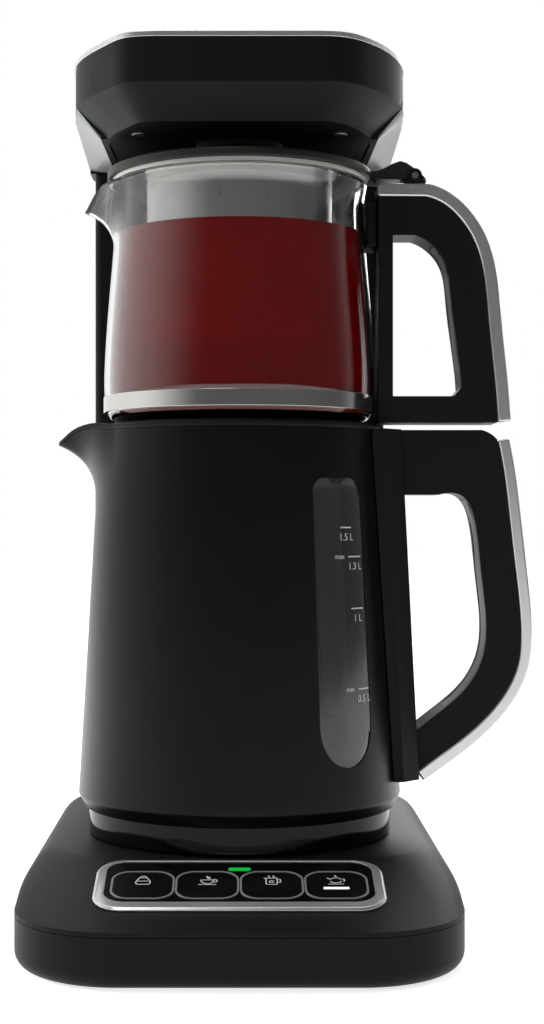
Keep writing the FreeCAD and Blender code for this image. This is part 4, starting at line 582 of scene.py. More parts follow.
@dataclass(frozen=True)
class Lip:
    """A pouring lip pressed out of a round rim, towards -X.

    The rim's points keep their Y and move out by reach * (1 - y / half_width) ** taper, and sink by drop
    near the nose; below the rim the move fades with a power of the height above start.
    """

    rim_radius: float
    rim_level: float
    reach: float
    half_width: float
    taper: float
    nose_radius: float
    drop: float
    drop_width: float
    shoulder: float
    start: float
    power: float

    def offsets(self, across: np.ndarray) -> tuple[np.ndarray, np.ndarray]:
        """How far the rim moves out and up at each Y.

        Args:
            across: The Y of the rim's points.

        Returns:
            The outward and upward moves.
        """
        rounded_y = np.sqrt(across**2 + self.nose_radius**2) - self.nose_radius
        out = self.reach * np.clip(1 - rounded_y / self.half_width, 0, 1) ** self.taper
        crest, spread = 0.68 * self.half_width, 0.24 * self.half_width
        near_edge = np.exp(-(((np.abs(across) - crest) / spread) ** 2))
        up = -self.drop * np.exp(-((across / self.drop_width) ** 2)) + self.shoulder * near_edge
        return out, up

    def angles(self) -> np.ndarray:
        """Angles round the axis, closer together near the lip by a power of the way round.

        Returns:
            The angles, counter-clockwise from +X.
        """
        crowding = 1.6
        even = np.linspace(-1, 1, RINGS + 1)[:-1]
        return math.pi + math.pi * np.sign(even) * np.abs(even) ** crowding

    def surface(self, profile: np.ndarray) -> np.ndarray:
        """The wall's grid: the turned profile plus the lip's move.

        Args:
            profile: Points of (radius, level), the last one at the rim.

        Returns:
            Rows of points in millimetres.
        """
        angle = self.angles()
        radius = profile[:, 0][:, None]
        level = profile[:, 1][:, None] + 0 * angle[None, :]
        across = self.rim_radius * np.sin(angle)
        out, up = self.offsets(across)
        facing = (np.cos(angle) < 0).astype(float)
        fade = np.clip((level - self.start) / (self.rim_level - self.start), 0, None) ** self.power
        x = radius * np.cos(angle) - out * facing * fade
        y = radius * np.sin(angle) * (1 + 0 * level)
        z = level + up * facing * fade
        return np.stack([x, y, z], axis=2)

    def rim(self) -> np.ndarray:
        """The rim line itself, one point for each angle."""
        return self.surface(np.array([[self.rim_radius, self.rim_level]]))[0]


def rim_strip(name: str, line: np.ndarray, section: np.ndarray) -> bpy.types.Mesh:
    """A closed section carried along a closed rim line.

    The section's first number is the distance inwards, along the line's own plan normal, and the second
    is the height above the line.

    Args:
        name: The mesh's name.
        line: The rim line's points.
        section: Points of (inwards, height).

    Returns:
        The mesh.
    """
    run = np.roll(line, -1, axis=0) - np.roll(line, 1, axis=0)
    normal = np.stack([-run[:, 1], run[:, 0], 0 * run[:, 0]], axis=1)
    normal /= np.linalg.norm(normal, axis=1)[:, None]
    points = line[None, :, :] + section[:, 0][:, None, None] * normal[None, :, :]
    points[:, :, 2] += section[:, 1][:, None]
    return mesh_from_grid(name, points, True, True, flip=True)


def smooth_curve(corners: list[tuple[float, float]], count: int) -> np.ndarray:
    """A smooth line through points: a uniform Catmull-Rom curve sampled evenly in each span.

    Args:
        corners: Points that the curve passes through.
        count: Samples in each span.

    Returns:
        The sampled points.
    """
    given = np.array(corners, float)
    padded = np.vstack([2 * given[0] - given[1], given, 2 * given[-1] - given[-2]])
    t = np.linspace(0, 1, count, endpoint=False)[:, None]
    spans = []
    for a, b, c, d in zip(padded, padded[1:], padded[2:], padded[3:]):
        spans.append(
            0.5 * (2 * b + (c - a) * t + (2 * a - 5 * b + 4 * c - d) * t**2 + (3 * b - a - 3 * c + d) * t**3)
        )
    return np.vstack(spans + [given[-1:]])


def applied(piece: bpy.types.Object) -> None:
    """Bakes a piece's modifiers into its mesh.

    Args:
        piece: The piece to change.
    """
    bpy.context.view_layer.update()
    solid = bpy.data.meshes.new_from_object(piece.evaluated_get(bpy.context.evaluated_depsgraph_get()))
    piece.modifiers.clear()
    piece.data = solid


@dataclass(frozen=True)
class Mark:
    """One level mark: its number, level, azimuths in degrees right of the front, and a word beside it."""

    number: str
    level: float
    start: float
    end: float
    word: str = ""


@dataclass
class Kettle:
    """The kettle's wall with its pressed beak, its window and its black rim.

    Lengths are in millimetres. Azimuths and half angles are in degrees, counted right of the front.
    """

    body: str = "kettle"
    low_radius: float = 70.2
    low: float = 51.4
    wide_radius: float = 73.8
    wide_level: float = 58.0
    wall: float = 1.2
    seat_bore: float = 46.0
    seat_outer: float = 60.0
    collar_inner: float = 66.4
    collar_radius: float = 69.2
    collar_bore: float = 33.5
    collar_low: float = 39.1
    collar_floor: float = 52.8
    collar_top: float = 55.0
    window_azimuth: float = 40.8
    window_half_angle: float = 12.4
    window_top: float = 199.8
    window_low: float = 74.5
    window_radius: float = 68.0
    window_corner_share: float = 0.45
    window_corner_high: float = 7.0
    window_belly: float = 19.0
    cutter_radii: tuple[float, float] = (60.0, 80.0)
    chamber_low: float = 98.0
    chamber_arch: float = 8.0
    chamber_inset: float = 1.2
    chamber_right: float = 2.6
    chamber_faces: tuple[float, float] = (-3.0, -4.2)
    roundings: Roundings = (
        ("handle_mount", 1.2), ("handle_grip", 3.4), ("handle_spine", 1.0), ("handle_liner", 0.4),
    )
    marks: tuple[Mark, ...] = (
        Mark("1.5 L", 178.1, 41.0, 46.5),
        Mark("1.3 L", 165.4, 44.4, 51.4, "max"),
        Mark("1 L", 142.9, 45.0, 51.6),
        Mark("0.5 L", 108.0, 47.0, 52.6, "min"),
    )
    lip: Lip = field(default_factory=lambda: Lip(
        rim_radius=64.2, rim_level=221.5, reach=18.6, half_width=31.0, taper=1.45, nose_radius=2.4,
        drop=6.2, drop_width=8.0, shoulder=1.2, start=184.0, power=2.7,
    ))

    def build(self, shop: Workshop) -> None:
        """Builds the wall, the rim, the window's marks and the rounded handle pieces.

        Args:
            shop: The workshop that takes the pieces.
        """
        self.build_wall(shop)
        self.build_rim(shop)
        self.build_marks(shop)
        step, seam = 1.2, self.low - 0.2
        ring = rounded([
            (self.collar_inner, self.collar_low), (self.collar_radius, self.collar_low, step),
            (self.collar_radius, seam), (self.collar_radius - step, seam),
            (self.collar_radius - step, self.collar_top), (self.collar_bore, self.collar_top),
            (self.collar_bore, self.collar_floor), (self.collar_inner, self.collar_floor),
        ])
        shop.add(
            "collar_ring", turned("collar_ring", ring), GLOSS_BLACK, self.body, ("kettle_collar",), 30.0
        )
        for node, width in self.roundings:
            shop.softened(node, width, self.body)

    def radius(self, level: np.ndarray | float) -> np.ndarray | float:
        """The wall's outer radius at a level of its straight taper."""
        share = (self.lip.rim_level - level) / (self.lip.rim_level - self.wide_level)
        return self.lip.rim_radius + (self.wide_radius - self.lip.rim_radius) * share

    def build_wall(self, shop: Workshop) -> None:
        """The metal wall: a taper with a rounded foot, pressed out into the beak, open at the window.

        Args:
            shop: The workshop that takes the piece.
        """
        levels = np.linspace(self.wide_level + 6, self.lip.rim_level, 90)
        foot = rounded([
            (self.low_radius - 1.0, self.low), (self.low_radius + 0.6, self.low),
            (self.wide_radius + 0.15, self.wide_level - 1.2, 3.6),
            (float(self.radius(levels[0])), levels[0]),
        ])[:-1]
        profile = np.vstack([foot, np.stack([self.radius(levels), levels], axis=1)])
        mesh = mesh_from_grid("kettle_wall", self.lip.surface(profile))
        piece = shop.add("kettle_wall", mesh, SATIN_STEEL, self.body, ("kettle_body",), 50.0)
        thick = piece.modifiers.new("sheet", "SOLIDIFY")
        thick.thickness = self.wall * MM
        thick.offset = -1.0
        opening = self.window_cutter()
        cut = piece.modifiers.new("window", "BOOLEAN")
        cut.operation = "DIFFERENCE"
        cut.solver = "EXACT"
        cut.object = opening
        applied(piece)
        bpy.data.objects.remove(opening)
        piece.data.shade_smooth()
        piece.data.set_sharp_from_angle(angle=math.radians(40))

    def window_line(self, grow: float) -> np.ndarray:
        """The window's outline as (azimuth in radians from its middle, level), grown by a distance.

        The sides are lines of constant azimuth, the top's corners are small arcs, and the bottom is a
        half ellipse.

        Args:
            grow: The distance in millimetres by which the outline grows.

        Returns:
            The points of the closed outline.
        """
        half = math.radians(self.window_half_angle) + grow / self.window_radius
        top = self.window_top + grow
        low = self.window_low - grow
        wide, high = half * self.window_corner_share, self.window_corner_high
        quarter = np.linspace(0, math.pi / 2, 10)
        right_top = np.stack(
            [half - wide + wide * np.cos(quarter), top - high + high * np.sin(quarter)], axis=1
        )
        left_top = right_top[::-1] * np.array([-1.0, 1.0])
        turn = np.linspace(math.pi, 2 * math.pi, 28)
        belly = self.window_belly
        bottom = np.stack([half * np.cos(turn), low + belly + belly * np.sin(turn)], axis=1)
        return np.vstack([right_top, left_top, bottom])

    def window_cutter(self) -> bpy.types.Object:
        """A block through the wall with the window's outline.

        Returns:
            The block, linked to the scene.
        """
        line = self.window_line(0.0)
        azimuth = math.radians(self.window_azimuth) + line[:, 0]
        rows = [
            np.stack([radius * np.sin(azimuth), -radius * np.cos(azimuth), line[:, 1]], axis=1)
            for radius in self.cutter_radii
        ]
        cutter = bpy.data.objects.new(
            "window_cutter", closed_up(mesh_from_grid("window_cutter", np.array(rows)))
        )
        bpy.context.scene.collection.objects.link(cutter)
        return cutter

    def on_wall(self, azimuth: np.ndarray, level: np.ndarray, proud: float) -> np.ndarray:
        """Points on the taper at an azimuth in radians right of the front, stood off by a distance."""
        radius = self.radius(level) + proud
        return np.stack([radius * np.sin(azimuth), -radius * np.cos(azimuth), level], axis=-1)

    def pane(self, name: str, shrink: float, outer: float, inner: float) -> bpy.types.Mesh:
        """A curved pane with the window's outline, between two stand-offs from the wall's surface.

        Each ring of the pane's grid is the outline drawn in to shares of its width and its height.

        Args:
            name: The mesh's name.
            shrink: How far the outline is drawn in.
            outer: The outer face's stand-off.
            inner: The inner face's stand-off.

        Returns:
            The mesh.
        """
        line = self.window_line(-shrink)
        middle = np.array([0.0, (self.window_top + self.window_low) / 2])

        def ring(wide: float, high: float, proud: float) -> np.ndarray:
            """The outline drawn in to two shares, on the wall's surface."""
            drawn = middle + (line - middle) * np.array([wide, high])
            return self.on_wall(math.radians(self.window_azimuth) + drawn[:, 0], drawn[:, 1], proud)

        edge_drop = 0.25
        least_high = 0.25
        rings = [ring(0.0, 0.0, outer)]
        for share in (0.35, 0.7, 0.9, 0.985):
            rings.append(ring(share, least_high + (1 - least_high) * share, outer))
        rings += [ring(1.0, 1.0, outer - edge_drop), ring(1.0, 1.0, inner)]
        rings += [ring(0.02, 0.9, inner), ring(0.0, 0.0, inner)]
        return closed_up(mesh_from_grid(name, np.array(rings)))

    def build_marks(self, shop: Workshop) -> None:
        """The window's pane, the paler chamber behind it, its level marks and their plain numbers.

        Args:
            shop: The workshop that takes the pieces.
        """
        shop.add(
            "window_pane", self.pane("window_pane", 0.15, -0.2, -1.9), SMOKY_CLEAR, self.body,
            ("water_window",),
        )
        shop.add("gauge_wall", self.chamber(), CHAMBER_GREY, self.body)
        half_thick, proud, sunk = 0.28, 0.02, -0.12
        number_size, number_drop = 4.4, 5.6
        word_size, word_drop, word_left = 3.3, 0.9, 4.4
        corners = ((-half_thick, proud), (half_thick, proud), (half_thick, sunk), (-half_thick, sunk))
        strips = []
        for mark in self.marks:
            azimuth = np.radians(np.linspace(mark.start, mark.end, 8))
            rows = [self.on_wall(azimuth, 0 * azimuth + mark.level + rise, off) for rise, off in corners]
            strips.append(mesh_from_grid("mark", np.array(rows), False, True))
            middle = (mark.start + mark.end) / 2
            strips.append(self.lettering(mark.number, middle, mark.level - number_drop, number_size))
            if mark.word:
                strips.append(
                    self.lettering(mark.word, mark.start - word_left, mark.level - word_drop, word_size)
                )
        shop.add("window_marks", joined_mesh("window_marks", strips), WHITE_PRINT, self.body)

    def chamber(self) -> bpy.types.Mesh:
        """The gauge's inner wall, seen through the left part of the window, with a round foot.

        It is a sheet on the wall's taper: its azimuth runs evenly from left to right, and its level from
        the foot's half ellipse to just under the window's top.

        Returns:
            The mesh.
        """
        left = self.chamber_inset - self.window_half_angle
        across = np.linspace(0, 1, 24)
        upwards = np.linspace(0, 1, 60)[:, None]
        arch = 1 - np.sqrt(np.clip(1 - (2 * across - 1) ** 2, 0, 1))
        foot = self.chamber_low + self.chamber_arch * arch
        level = foot + (self.window_top - 1.0 - foot) * upwards
        azimuth = np.radians(self.window_azimuth + left + (self.chamber_right - left) * across)
        front, back = (
            self.on_wall(np.broadcast_to(azimuth, level.shape), level, face) for face in self.chamber_faces
        )
        grid = np.concatenate([front, back[::-1]])
        return closed_up(mesh_from_grid("gauge_wall", grid, False, True))

    def lettering(self, text: str, azimuth: float, level: float, size: float) -> bpy.types.Mesh:
        """Plain figures printed on the window, bent round the taper.

        Args:
            text: The figures.
            azimuth: Their middle, in degrees right of the front.
            level: Their foot line.
            size: Their height.

        Returns:
            The mesh.
        """
        curve = bpy.data.curves.new("figures", "FONT")
        curve.body = text
        curve.align_x = "CENTER"
        curve.size = size
        curve.resolution_u = 3
        holder = bpy.data.objects.new("figures", curve)
        bpy.context.scene.collection.objects.link(holder)
        bpy.context.view_layer.update()
        mesh = bpy.data.meshes.new_from_object(holder.evaluated_get(bpy.context.evaluated_depsgraph_get()))
        bpy.data.objects.remove(holder)
        flat = np.empty(len(mesh.vertices) * 3, np.float32)
        mesh.vertices.foreach_get("co", flat)
        flat = flat.reshape(-1, 3)
        radius = float(self.radius(level))
        bent = self.on_wall(math.radians(azimuth) + flat[:, 0] / radius, level + flat[:, 1], 0.03)
        mesh.vertices.foreach_set("co", (bent * MM).astype(np.float32).ravel())
        mesh.update()
        return mesh

    def build_rim(self, shop: Workshop) -> None:
        """The rim: a rounded strip that follows the beak, and the flat seat ring inside it.

        Args:
            shop: The workshop that takes the piece.
        """
        # Corners as (inwards, height, radius)
        section = rounded([
            (-0.5, 0.15), (-0.6, 0.3), (-0.6, 2.3, 0.7), (1.9, 2.3, 0.7), (1.9, 0.2), (1.4, -0.05),
            (-0.5, 0.15),
        ])[:-1]
        strip = rim_strip("rim_strip", self.lip.rim(), section)
        top = self.lip.rim_level + 2.3
        seat = turned("seat_ring", rounded([
            (self.seat_bore, top - 1.6), (self.lip.rim_radius - 1.3, top - 1.6),
            (self.lip.rim_radius - 1.3, top - 0.1, 0.3), (self.seat_outer + 0.9, top - 0.1),
            (self.seat_outer, top + 1.2, 0.6), (self.seat_bore, top + 1.2), (self.seat_bore, top - 1.6),
        ])[:-1])
        shop.add(
            "kettle_rim_form", joined_mesh("kettle_rim_form", [strip, seat]), MOULDED_BLACK, self.body,
            ("kettle_rim",),
        )


@dataclass
class Teapot:
    """The glass jug with its lip and tea, the steel parts, the handle and the lid, in millimetres."""

    body: str = "teapot"
    lid_body: str = "lid"
    wall: float = 2.3
    floor: float = 3.0
    tea_level: float = 311.3
    basket_low: float = 258.0
    basket_radius: float = BASKET_RADIUS
    flange_low: float = 334.7
    flange_top: float = 335.4
    flange_radius: float = 57.2
    sheet: float = 0.6
    tea_gap: float = 0.12
    floor_corner: float = 4.0
    roundings: Roundings = (
        ("teapot_band", 0.3), ("teapot_grip", 3.4), ("teapot_spine", 1.2), ("teapot_liner", 0.4),
        ("clamp_boss", 1.5), ("hinge_bracket", 0.3),
    )
    outline: tuple[tuple[float, float], ...] = (
        (56.5, 225.2), (59.7, 228.2), (61.6, 234.0), (62.3, 244.0), (61.6, 262.0), (60.2, 281.0),
        (58.6, 300.0), (57.5, 316.0), (57.3, 326.0), (58.6, 334.5),
    )
    lip: Lip = field(default_factory=lambda: Lip(
        rim_radius=58.6, rim_level=334.5, reach=12.9, half_width=24.0, taper=1.2, nose_radius=2.0,
        drop=11.5, drop_width=9.5, shoulder=0.0, start=307.0, power=1.5,
    ))

    def build(self, shop: Workshop) -> None:
        """Builds the glass, the tea, the infuser and the rounded parts.

        Args:
            shop: The workshop that takes the pieces.
        """
        self.build_glass(shop)
        self.build_tea(shop)
        cup = rounded([
            (0.0, self.basket_low), (self.basket_radius - 1, self.basket_low, 3.0),
            (self.basket_radius, self.flange_low), (self.flange_radius, self.flange_low),
            (self.flange_radius, self.flange_top), (self.basket_radius - self.sheet, self.flange_top),
            (self.basket_radius - self.sheet - 1, self.basket_low + self.sheet, 2.4),
            (0.0, self.basket_low + self.sheet),
        ])
        shop.add(
            "infuser_cup", turned("infuser_cup", cup, False), PIERCED_STEEL, self.body, ("infuser_basket",)
        )
        for node, width in self.roundings:
            shop.softened(node, width, self.body)
        shop.softened("teapot_lid", 0.8, self.lid_body)

    def side(self) -> np.ndarray:
        """The jug's smooth outer profile from the foot to the rim."""
        return smooth_curve(list(self.outline), 8)

    def build_glass(self, shop: Workshop) -> None:
        """The jug: the outer profile pressed out into the lip, and the same drawn in by the wall.

        Args:
            shop: The workshop that takes the piece.
        """
        outer = self.side()
        inner = outer[outer[:, 1] > self.outline[0][1] + self.floor + self.floor_corner].copy()
        inner[:, 0] -= self.wall
        inner[-1, 1] -= 0.2
        foot_level = self.outline[0][1]
        floor_level = foot_level + self.floor
        outside = self.lip.surface(np.vstack([[[0.0, foot_level + 1.2], [30.0, foot_level + 1.0]], outer]))
        crown = self.lip.surface(np.array([[self.lip.rim_radius - self.wall / 2, self.lip.rim_level + 0.7]]))
        lower = rounded([
            (inner[0, 0], inner[0, 1]), (inner[0, 0] - 0.4, floor_level, self.floor_corner),
            (0.0, floor_level),
        ])
        inside = self.lip.surface(np.vstack([inner[::-1], lower]))
        mesh = mesh_from_grid("jug_glass", np.concatenate([outside, crown, inside]))
        shop.add("jug_glass", mesh, CLEAR_GLASS, self.body, ("teapot_glass",), 60.0)

    def build_tea(self, shop: Workshop) -> None:
        """The tea: the jug's inner profile up to its level, with a small rise where it meets the glass.

        Args:
            shop: The workshop that takes the piece.
        """
        gap = self.tea_gap
        outer = self.side()
        lowest = self.outline[0][1] + self.floor + self.floor_corner
        inner = outer[(outer[:, 1] > lowest) & (outer[:, 1] < self.tea_level)]
        floor_level = self.outline[0][1] + self.floor + gap
        wall = np.stack([inner[:, 0] - self.wall - gap, inner[:, 1]], axis=1)
        edge = wall[-1, 0]
        profile = np.vstack([
            rounded([
                (0.0, floor_level), (wall[0, 0] - 0.4, floor_level, self.floor_corner), tuple(wall[0]),
            ]),
            wall[1:],
            [[edge, self.tea_level + 0.5], [edge - 0.8, self.tea_level + 0.1], [edge - 2.2, self.tea_level],
             [0.0, self.tea_level]],
        ])
        shop.add("brewed_tea", turned("brewed_tea", profile, False), RED_TEA, self.body)


@dataclass
class Panel:
    """The control panel on the slope: lit bar and line pictures on the keys, in millimetres."""

    body: str = "stand"
    distance: float = 95.0
    crease: float = 23.0
    base_front: float = 134.0
    rise: float = 15.8
    run: float = 65.0
    key_top: float = 1.2
    pitch: float = 26.2
    picture_rise: float = 2.9
    picture_scale: tuple[float, float] = (0.95, 1.05)
    print_proud: float = 0.06
    print_thick: float = 0.05
    line_width: float = 0.42
    bar_ends: tuple[float, float] = (34.0, 44.4)
    bar_rise: float = -4.2
    bar_width: float = 1.9
    rounding: float = 0.25

    def on_slope(self, points: np.ndarray) -> np.ndarray:
        """Turns (right, up the slope, off the slope) into the tea maker's own frame.

        Args:
            points: The points on the slope.

        Returns:
            The points in the frame.
        """
        angle = math.atan2(self.rise, self.run)
        along = np.array([0.0, math.cos(angle), math.sin(angle)])
        normal = np.array([0.0, -math.sin(angle), math.cos(angle)])
        level = self.crease + (self.base_front - self.distance) * self.rise / self.run
        origin = np.array([0.0, -self.distance, level])
        return origin + points @ np.array([[1.0, 0.0, 0.0], along, normal])

    def stroke(self, line: np.ndarray, width: float, height: float) -> bpy.types.Mesh:
        """A printed line: a flat band round a path, raised by a hair from the key.

        Args:
            line: The path's points as (right, up).
            width: The line's width.
            height: The level of its top above the slope.

        Returns:
            The mesh.
        """
        run = np.gradient(line, axis=0)
        normal = np.stack([-run[:, 1], run[:, 0]], axis=1)
        normal /= np.linalg.norm(normal, axis=1)[:, None]
        rows = []
        under = height - self.print_thick
        for side, level in ((-1, height), (1, height), (1, under), (-1, under)):
            edge = line + normal * side * width / 2
            rows.append(self.on_slope(np.column_stack([edge, np.full(len(edge), level)])))
        return mesh_from_grid("stroke", np.array(rows), False, True)

    def pictures(self) -> list[list[np.ndarray]]:
        """The four line pictures, each a list of paths about its own middle, in millimetres.

        They are a jug, a cup with steam on a saucer, a boiling pot and a teapot on a warmer.

        Returns:
            The pictures in the order of the keys.
        """
        t = np.linspace(0, 1, 14)
        sway = 0.35

        def line(*corners: tuple[float, float]) -> np.ndarray:
            """Straight runs through corners, with points close enough for clean turns.

            Args:
                corners: The corners as (right, up).

            Returns:
                The points.
            """
            spots = np.array(corners, float)
            return np.vstack([
                a + (b - a) * np.linspace(0, 1, 6, endpoint=False)[:, None] for a, b in zip(spots, spots[1:])
            ] + [spots[-1:]])

        def arc(x: float, y: float, wide: float, high: float, start: float, end: float) -> np.ndarray:
            """Part of an ellipse between two angles in degrees."""
            angle = np.radians(start + (end - start) * t)
            return np.stack([x + wide * np.cos(angle), y + high * np.sin(angle)], axis=1)

        def steam(x: float, y: float, high: float) -> np.ndarray:
            """A rising wave: a sine across, drawn out upwards."""
            return np.stack([x + sway * np.sin(2 * math.pi * t), y + high * t], axis=1)

        jug = [
            line((-2.2, -3.4), (2.2, -3.4)), arc(-2.2, -1.6, 0.9, 1.8, 270, 170),
            arc(2.2, -1.6, 0.9, 1.8, -90, 10),
            line((-3.1, -1.2), (-1.7, 2.2), (1.7, 2.2), (3.1, -1.2)), arc(0, 2.3, 1.3, 1.5, 0, 180),
            line((-3.0, -0.6), (2.2, -0.6)),
        ]
        cup = [
            arc(0, 0.4, 2.8, 3.2, 180, 360), line((-2.8, 0.4), (2.8, 0.4)),
            arc(3.0, -0.4, 1.2, 1.1, -100, 110),
            line((-3.8, -3.6), (3.8, -3.6)), steam(0.0, 1.2, 2.6), steam(0.9, 1.2, 2.0),
        ]
        pot = [
            line((-2.4, 1.6), (-2.4, -3.4), (2.4, -3.4), (2.4, 1.6)), line((-3.4, 1.9), (2.6, 1.9)),
            line((2.5, 0.9), (3.8, 0.9), (3.8, -1.6), (2.5, -1.6)),
            steam(-1.0, 2.4, 1.7), steam(1.0, 2.4, 1.7),
            arc(0, -1.1, 1.0, 0.8, 0, 330),
        ]
        teapot = [
            arc(0, 0.2, 2.5, 2.4, 200, 340), arc(0, 0.2, 2.5, 2.0, 20, 160), line((-2.3, 0.8), (-3.7, 2.2)),
            arc(2.8, 0.2, 1.0, 1.2, -80, 80), line((-3.4, -3.2), (3.4, -3.2)), steam(0.0, 2.9, 1.6),
        ]
        return [jug, cup, pot, teapot]

    def build(self, shop: Workshop) -> None:
        """Prints the line pictures on the keys, lights the bar on the last key and dresses the bezel.

        Args:
            shop: The workshop that takes the pieces.
        """
        height = self.key_top + self.print_proud
        for index, (key, picture) in enumerate(zip(Key, self.pictures())):
            centre = np.array([self.pitch * (index - 1.5), self.picture_rise])
            strokes = [
                self.stroke(path * np.array(self.picture_scale) + centre, self.line_width, height)
                for path in picture
            ]
            name = key.value + "_picture"
            shop.add(name, joined_mesh(name, strokes), WHITE_PRINT, key.value)
        bar = np.stack([np.linspace(*self.bar_ends, 10), np.full(10, self.bar_rise)], axis=1)
        light = self.stroke(bar, self.bar_width, height + self.print_thick)
        shop.add("key_brew_light", light, WHITE_LIGHT, Key.BREW.value)
        shop.softened("panel_bezel", self.rounding, self.body)
        for key in Key:
            shop.softened(key.value, self.rounding, key.value)


@dataclass
class Stand:
    """The powered base and the tower: their covers with rounded edges, in millimetres."""

    body: str = "stand"
    seam: float = -24.0
    shoulder_front: float = 73.0
    shoulder_back: float = 75.8
    drawn_in: tuple[str, ...] = ("head_shell", "side_rail_left", "side_rail_right")
    roundings: Roundings = (
        ("base_cover", 0.4), ("base_tray", 0.4), ("column_front_cover", 0.5), ("column_rear_cover", 0.5),
        ("head_shell", 0.8), ("head_top_cover", 0.4), ("head_trim", 0.4), ("side_rail_left", 0.3),
        ("side_rail_right", 0.3), ("head_underside", 0.3), ("head_screws", 0.25), ("shower_head", 0.6),
    )

    def build(self, shop: Workshop) -> None:
        """Rounds the covers' edges, and draws the head's shoulders in to its plan.

        Args:
            shop: The workshop that takes the pieces.
        """
        for node, width in self.roundings:
            piece = shop.softened(node, width, self.body)
            if node in self.drawn_in:
                self.draw_in(piece.data)

    def draw_in(self, mesh: bpy.types.Mesh) -> None:
        """Keeps the points near the head's seam inside the curve of its front corners.

        The half width there falls from shoulder_back to shoulder_front as a straight line in Y.

        Args:
            mesh: The mesh to change.
        """
        past_seam = 0.6
        flat = np.empty(len(mesh.vertices) * 3, np.float32)
        mesh.vertices.foreach_get("co", flat)
        points = flat.reshape(-1, 3)
        share = np.clip((points[:, 1] / MM - self.seam) / -self.seam, 0, 1)
        limit = (self.shoulder_front + (self.shoulder_back - self.shoulder_front) * share) * MM
        near = (points[:, 1] > (self.seam - past_seam) * MM) & (points[:, 1] < 0)
        points[near, 0] = np.clip(points[near, 0], -limit[near], limit[near])
        mesh.vertices.foreach_set("co", points.ravel())
        mesh.update()


def background_share(tree: bpy.types.NodeTree) -> bpy.types.NodeSocket:
    """One where a camera, glossy or transmission ray looks, so that metal and glass show the white too.

    Args:
        tree: The node tree of the world or the floor.

    Returns:
        The socket with the share.
    """
    path = add_node(tree, "ShaderNodeLightPath")
    share = path.outputs["Is Camera Ray"]
    for kind in ("Is Glossy Ray", "Is Transmission Ray"):
        larger = add_node(
            tree, "ShaderNodeMath", {"operation": "MAXIMUM"}, {0: share, 1: path.outputs[kind]}
        )
        share = larger.outputs[0]
    return share


@dataclass(frozen=True)
class Lamp:
    """A square soft lamp that faces the tea maker, with its place and side in metres, and its watts."""

    name: str
    place: tuple[float, float, float]
    size: float
    power: float
    # Whether metal and glass show it, where a lamp beside the jug would stand as a white column
    mirrored: bool = True

    def hang(self, aim: tuple[float, float, float]) -> None:
        """Puts the lamp into the scene, turned towards a point.

        Args:
            aim: The point that it faces.
        """
        light = bpy.data.lights.new(self.name, "AREA")
        light.size = self.size
        light.energy = self.power
        holder = bpy.data.objects.new(self.name, light)
        holder.location = self.place
        holder.visible_glossy = self.mirrored
        holder.visible_transmission = self.mirrored
        way = np.array(aim) - np.array(self.place)
        pitch = math.atan2(math.hypot(way[0], way[1]), -way[2])
        holder.rotation_euler = (pitch, 0.0, -math.atan2(way[0], way[1]))
        bpy.context.scene.collection.objects.link(holder)


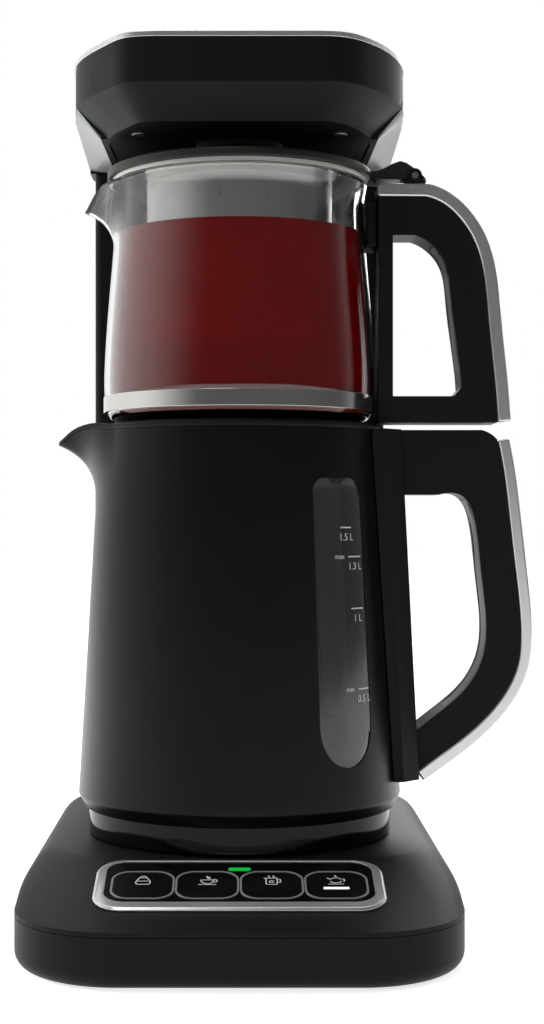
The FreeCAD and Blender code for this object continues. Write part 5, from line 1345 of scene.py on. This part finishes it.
@dataclass
class Studio:
    """The pale floor, the white room, the soft lamps and the camera.

    Lengths are in metres. The camera's focal length and axis are in pixels of the picture, counted from
    its top left corner.
    """

    floor_colour: str = "#d6d6d6"
    floor_reach: float = 8.0
    # Painted shade round the tea maker: the floor's glow for the eye is weaker near the axis, and full past
    # these distances
    fade_from: float = 0.4
    fade_to: float = 2.4
    shaded_near_glow: float = 0.74
    room_colour: str = "#e4e6e8"
    room_strength: float = 0.3
    bright_side: tuple[float, float, float] = (-0.5, 0.85, 0.15)
    bright_range: tuple[float, float] = (-0.5, 0.6)
    dimmest: float = 0.08
    aim: tuple[float, float, float] = (0.0, 0.0, 0.2)
    lamps: tuple[Lamp, ...] = (
        Lamp("key_lamp", (-1.6, 0.3, 0.75), 0.9, 34.0, mirrored=False),
        Lamp("fill_lamp", (1.5, 0.4, 0.8), 0.8, 10.0, mirrored=False),
        Lamp("front_lamp", (-0.6, -1.5, 2.1), 1.0, 9.0),
        Lamp("top_lamp", (0.0, 0.1, 1.9), 1.2, 8.0),
        Lamp("back_lamp", (0.4, 1.8, 1.0), 1.0, 12.0),
    )
    sensor_mm: float = 36.0
    picture: tuple[float, float] = (544.0, 1024.0)
    focal: float = 1700.0
    axis: tuple[float, float] = (239.5, 518.0)
    camera_place: tuple[float, float, float] = (0.0, -0.786, 0.1822)

    def build(self) -> None:
        """Builds the floor, the room, the lamps and the camera."""
        self.build_floor()
        self.build_room()
        for lamp in self.lamps:
            lamp.hang(self.aim)
        self.build_camera()
        bpy.context.scene.view_settings.view_transform = "Standard"

    def build_floor(self) -> None:
        """A matte floor that keeps the shadow, with painted shade near the axis: its glow for the eye grows
        whiter with the distance.
        """
        pale = bpy.data.materials.new("pale_floor")
        pale.use_nodes = True
        tree = pale.node_tree
        tree.nodes.clear()
        spot = add_node(tree, "ShaderNodeTexCoord")
        away = add_node(tree, "ShaderNodeVectorMath", {"operation": "LENGTH"}, {0: spot.outputs["Object"]})
        # Painted shade: the glow grows from its weaker near value to full with the distance from the axis
        painted_falloff = add_node(
            tree, "ShaderNodeMapRange",
            {"From Min": self.fade_from, "From Max": self.fade_to, "To Min": self.shaded_near_glow,
             "To Max": 1.0},
            {"Value": away.outputs["Value"]},
        )
        seen = add_node(
            tree, "ShaderNodeMath", {"operation": "MULTIPLY"},
            {0: background_share(tree), 1: painted_falloff.outputs["Result"]},
        )
        matte = add_node(tree, "ShaderNodeBsdfDiffuse", {"Color": linear(self.floor_colour)})
        lit = add_node(tree, "ShaderNodeEmission", {"Color": linear(WHITE)}, {"Strength": seen.outputs[0]})
        whole = add_node(tree, "ShaderNodeAddShader", links={0: matte.outputs[0], 1: lit.outputs[0]})
        add_node(tree, "ShaderNodeOutputMaterial", links={"Surface": whole.outputs[0]})
        reach = self.floor_reach
        mesh = bpy.data.meshes.new("floor")
        mesh.from_pydata(
            [(-reach, -reach, 0), (reach, -reach, 0), (reach, reach, 0), (-reach, reach, 0)], [],
            [(0, 1, 2, 3)],
        )
        mesh.materials.append(pale)
        floor = bpy.data.objects.new("floor", mesh)
        bpy.context.scene.collection.objects.link(floor)

    def build_room(self) -> None:
        """The world: even light on matte surfaces, and plain white for the eye.

        A glossy ray sees the white scaled by a smooth step of its direction along bright_side, so the room
        is darker in front on the right, as a dark studio is behind its lamps.
        """
        world = bpy.data.worlds.new("studio")
        bpy.context.scene.world = world
        world.use_nodes = True
        tree = world.node_tree
        tree.nodes.clear()
        facing = add_node(tree, "ShaderNodeTexCoord")
        toward = add_node(
            tree, "ShaderNodeVectorMath", {"operation": "DOT_PRODUCT", 1: self.bright_side},
            {0: facing.outputs["Generated"]},
        )
        scaled = add_node(
            tree, "ShaderNodeMapRange",
            {"interpolation_type": "SMOOTHSTEP", "From Min": self.bright_range[0],
             "From Max": self.bright_range[1], "To Min": self.dimmest, "To Max": 1.0},
            {"Value": toward.outputs["Value"]},
        )
        path = add_node(tree, "ShaderNodeLightPath")
        strength = add_node(
            tree, "ShaderNodeMix", {"data_type": "FLOAT", 2: 1.0},
            {0: path.outputs["Is Glossy Ray"], 3: scaled.outputs["Result"]},
        )
        bright = add_node(
            tree, "ShaderNodeBackground", {"Color": linear(WHITE)}, {"Strength": strength.outputs[0]}
        )
        even = add_node(
            tree, "ShaderNodeBackground", {"Color": linear(self.room_colour), "Strength": self.room_strength}
        )
        mixed = add_node(
            tree, "ShaderNodeMixShader",
            links={0: background_share(tree), 1: even.outputs[0], 2: bright.outputs[0]},
        )
        add_node(tree, "ShaderNodeOutputWorld", links={"Surface": mixed.outputs[0]})

    def build_camera(self) -> None:
        """A level camera, shifted so that its axis meets the picture where it was fitted."""
        wide, high = self.picture
        lens = bpy.data.cameras.new("camera")
        lens.sensor_fit = "VERTICAL"
        lens.sensor_height = self.sensor_mm
        lens.lens = self.focal / high * self.sensor_mm
        lens.shift_x = (wide / 2 - self.axis[0]) / high
        lens.shift_y = (self.axis[1] - high / 2) / high
        camera = bpy.data.objects.new("camera", lens)
        camera.location = self.camera_place
        camera.rotation_euler = (math.pi / 2, 0.0, 0.0)
        bpy.context.scene.collection.objects.link(camera)
        bpy.context.scene.camera = camera


def main() -> None:
    """Builds the tea maker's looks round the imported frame."""
    logging.basicConfig(level=logging.INFO, format="%(message)s")
    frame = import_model()
    shop = Workshop(frame)
    shop.dress_nodes()
    Studio().build()
    Stand().build(shop)
    Panel().build(shop)
    Kettle().build(shop)
    Teapot().build(shop)
    bpy.context.view_layer.update()


if __name__ == "__main__":
    main()
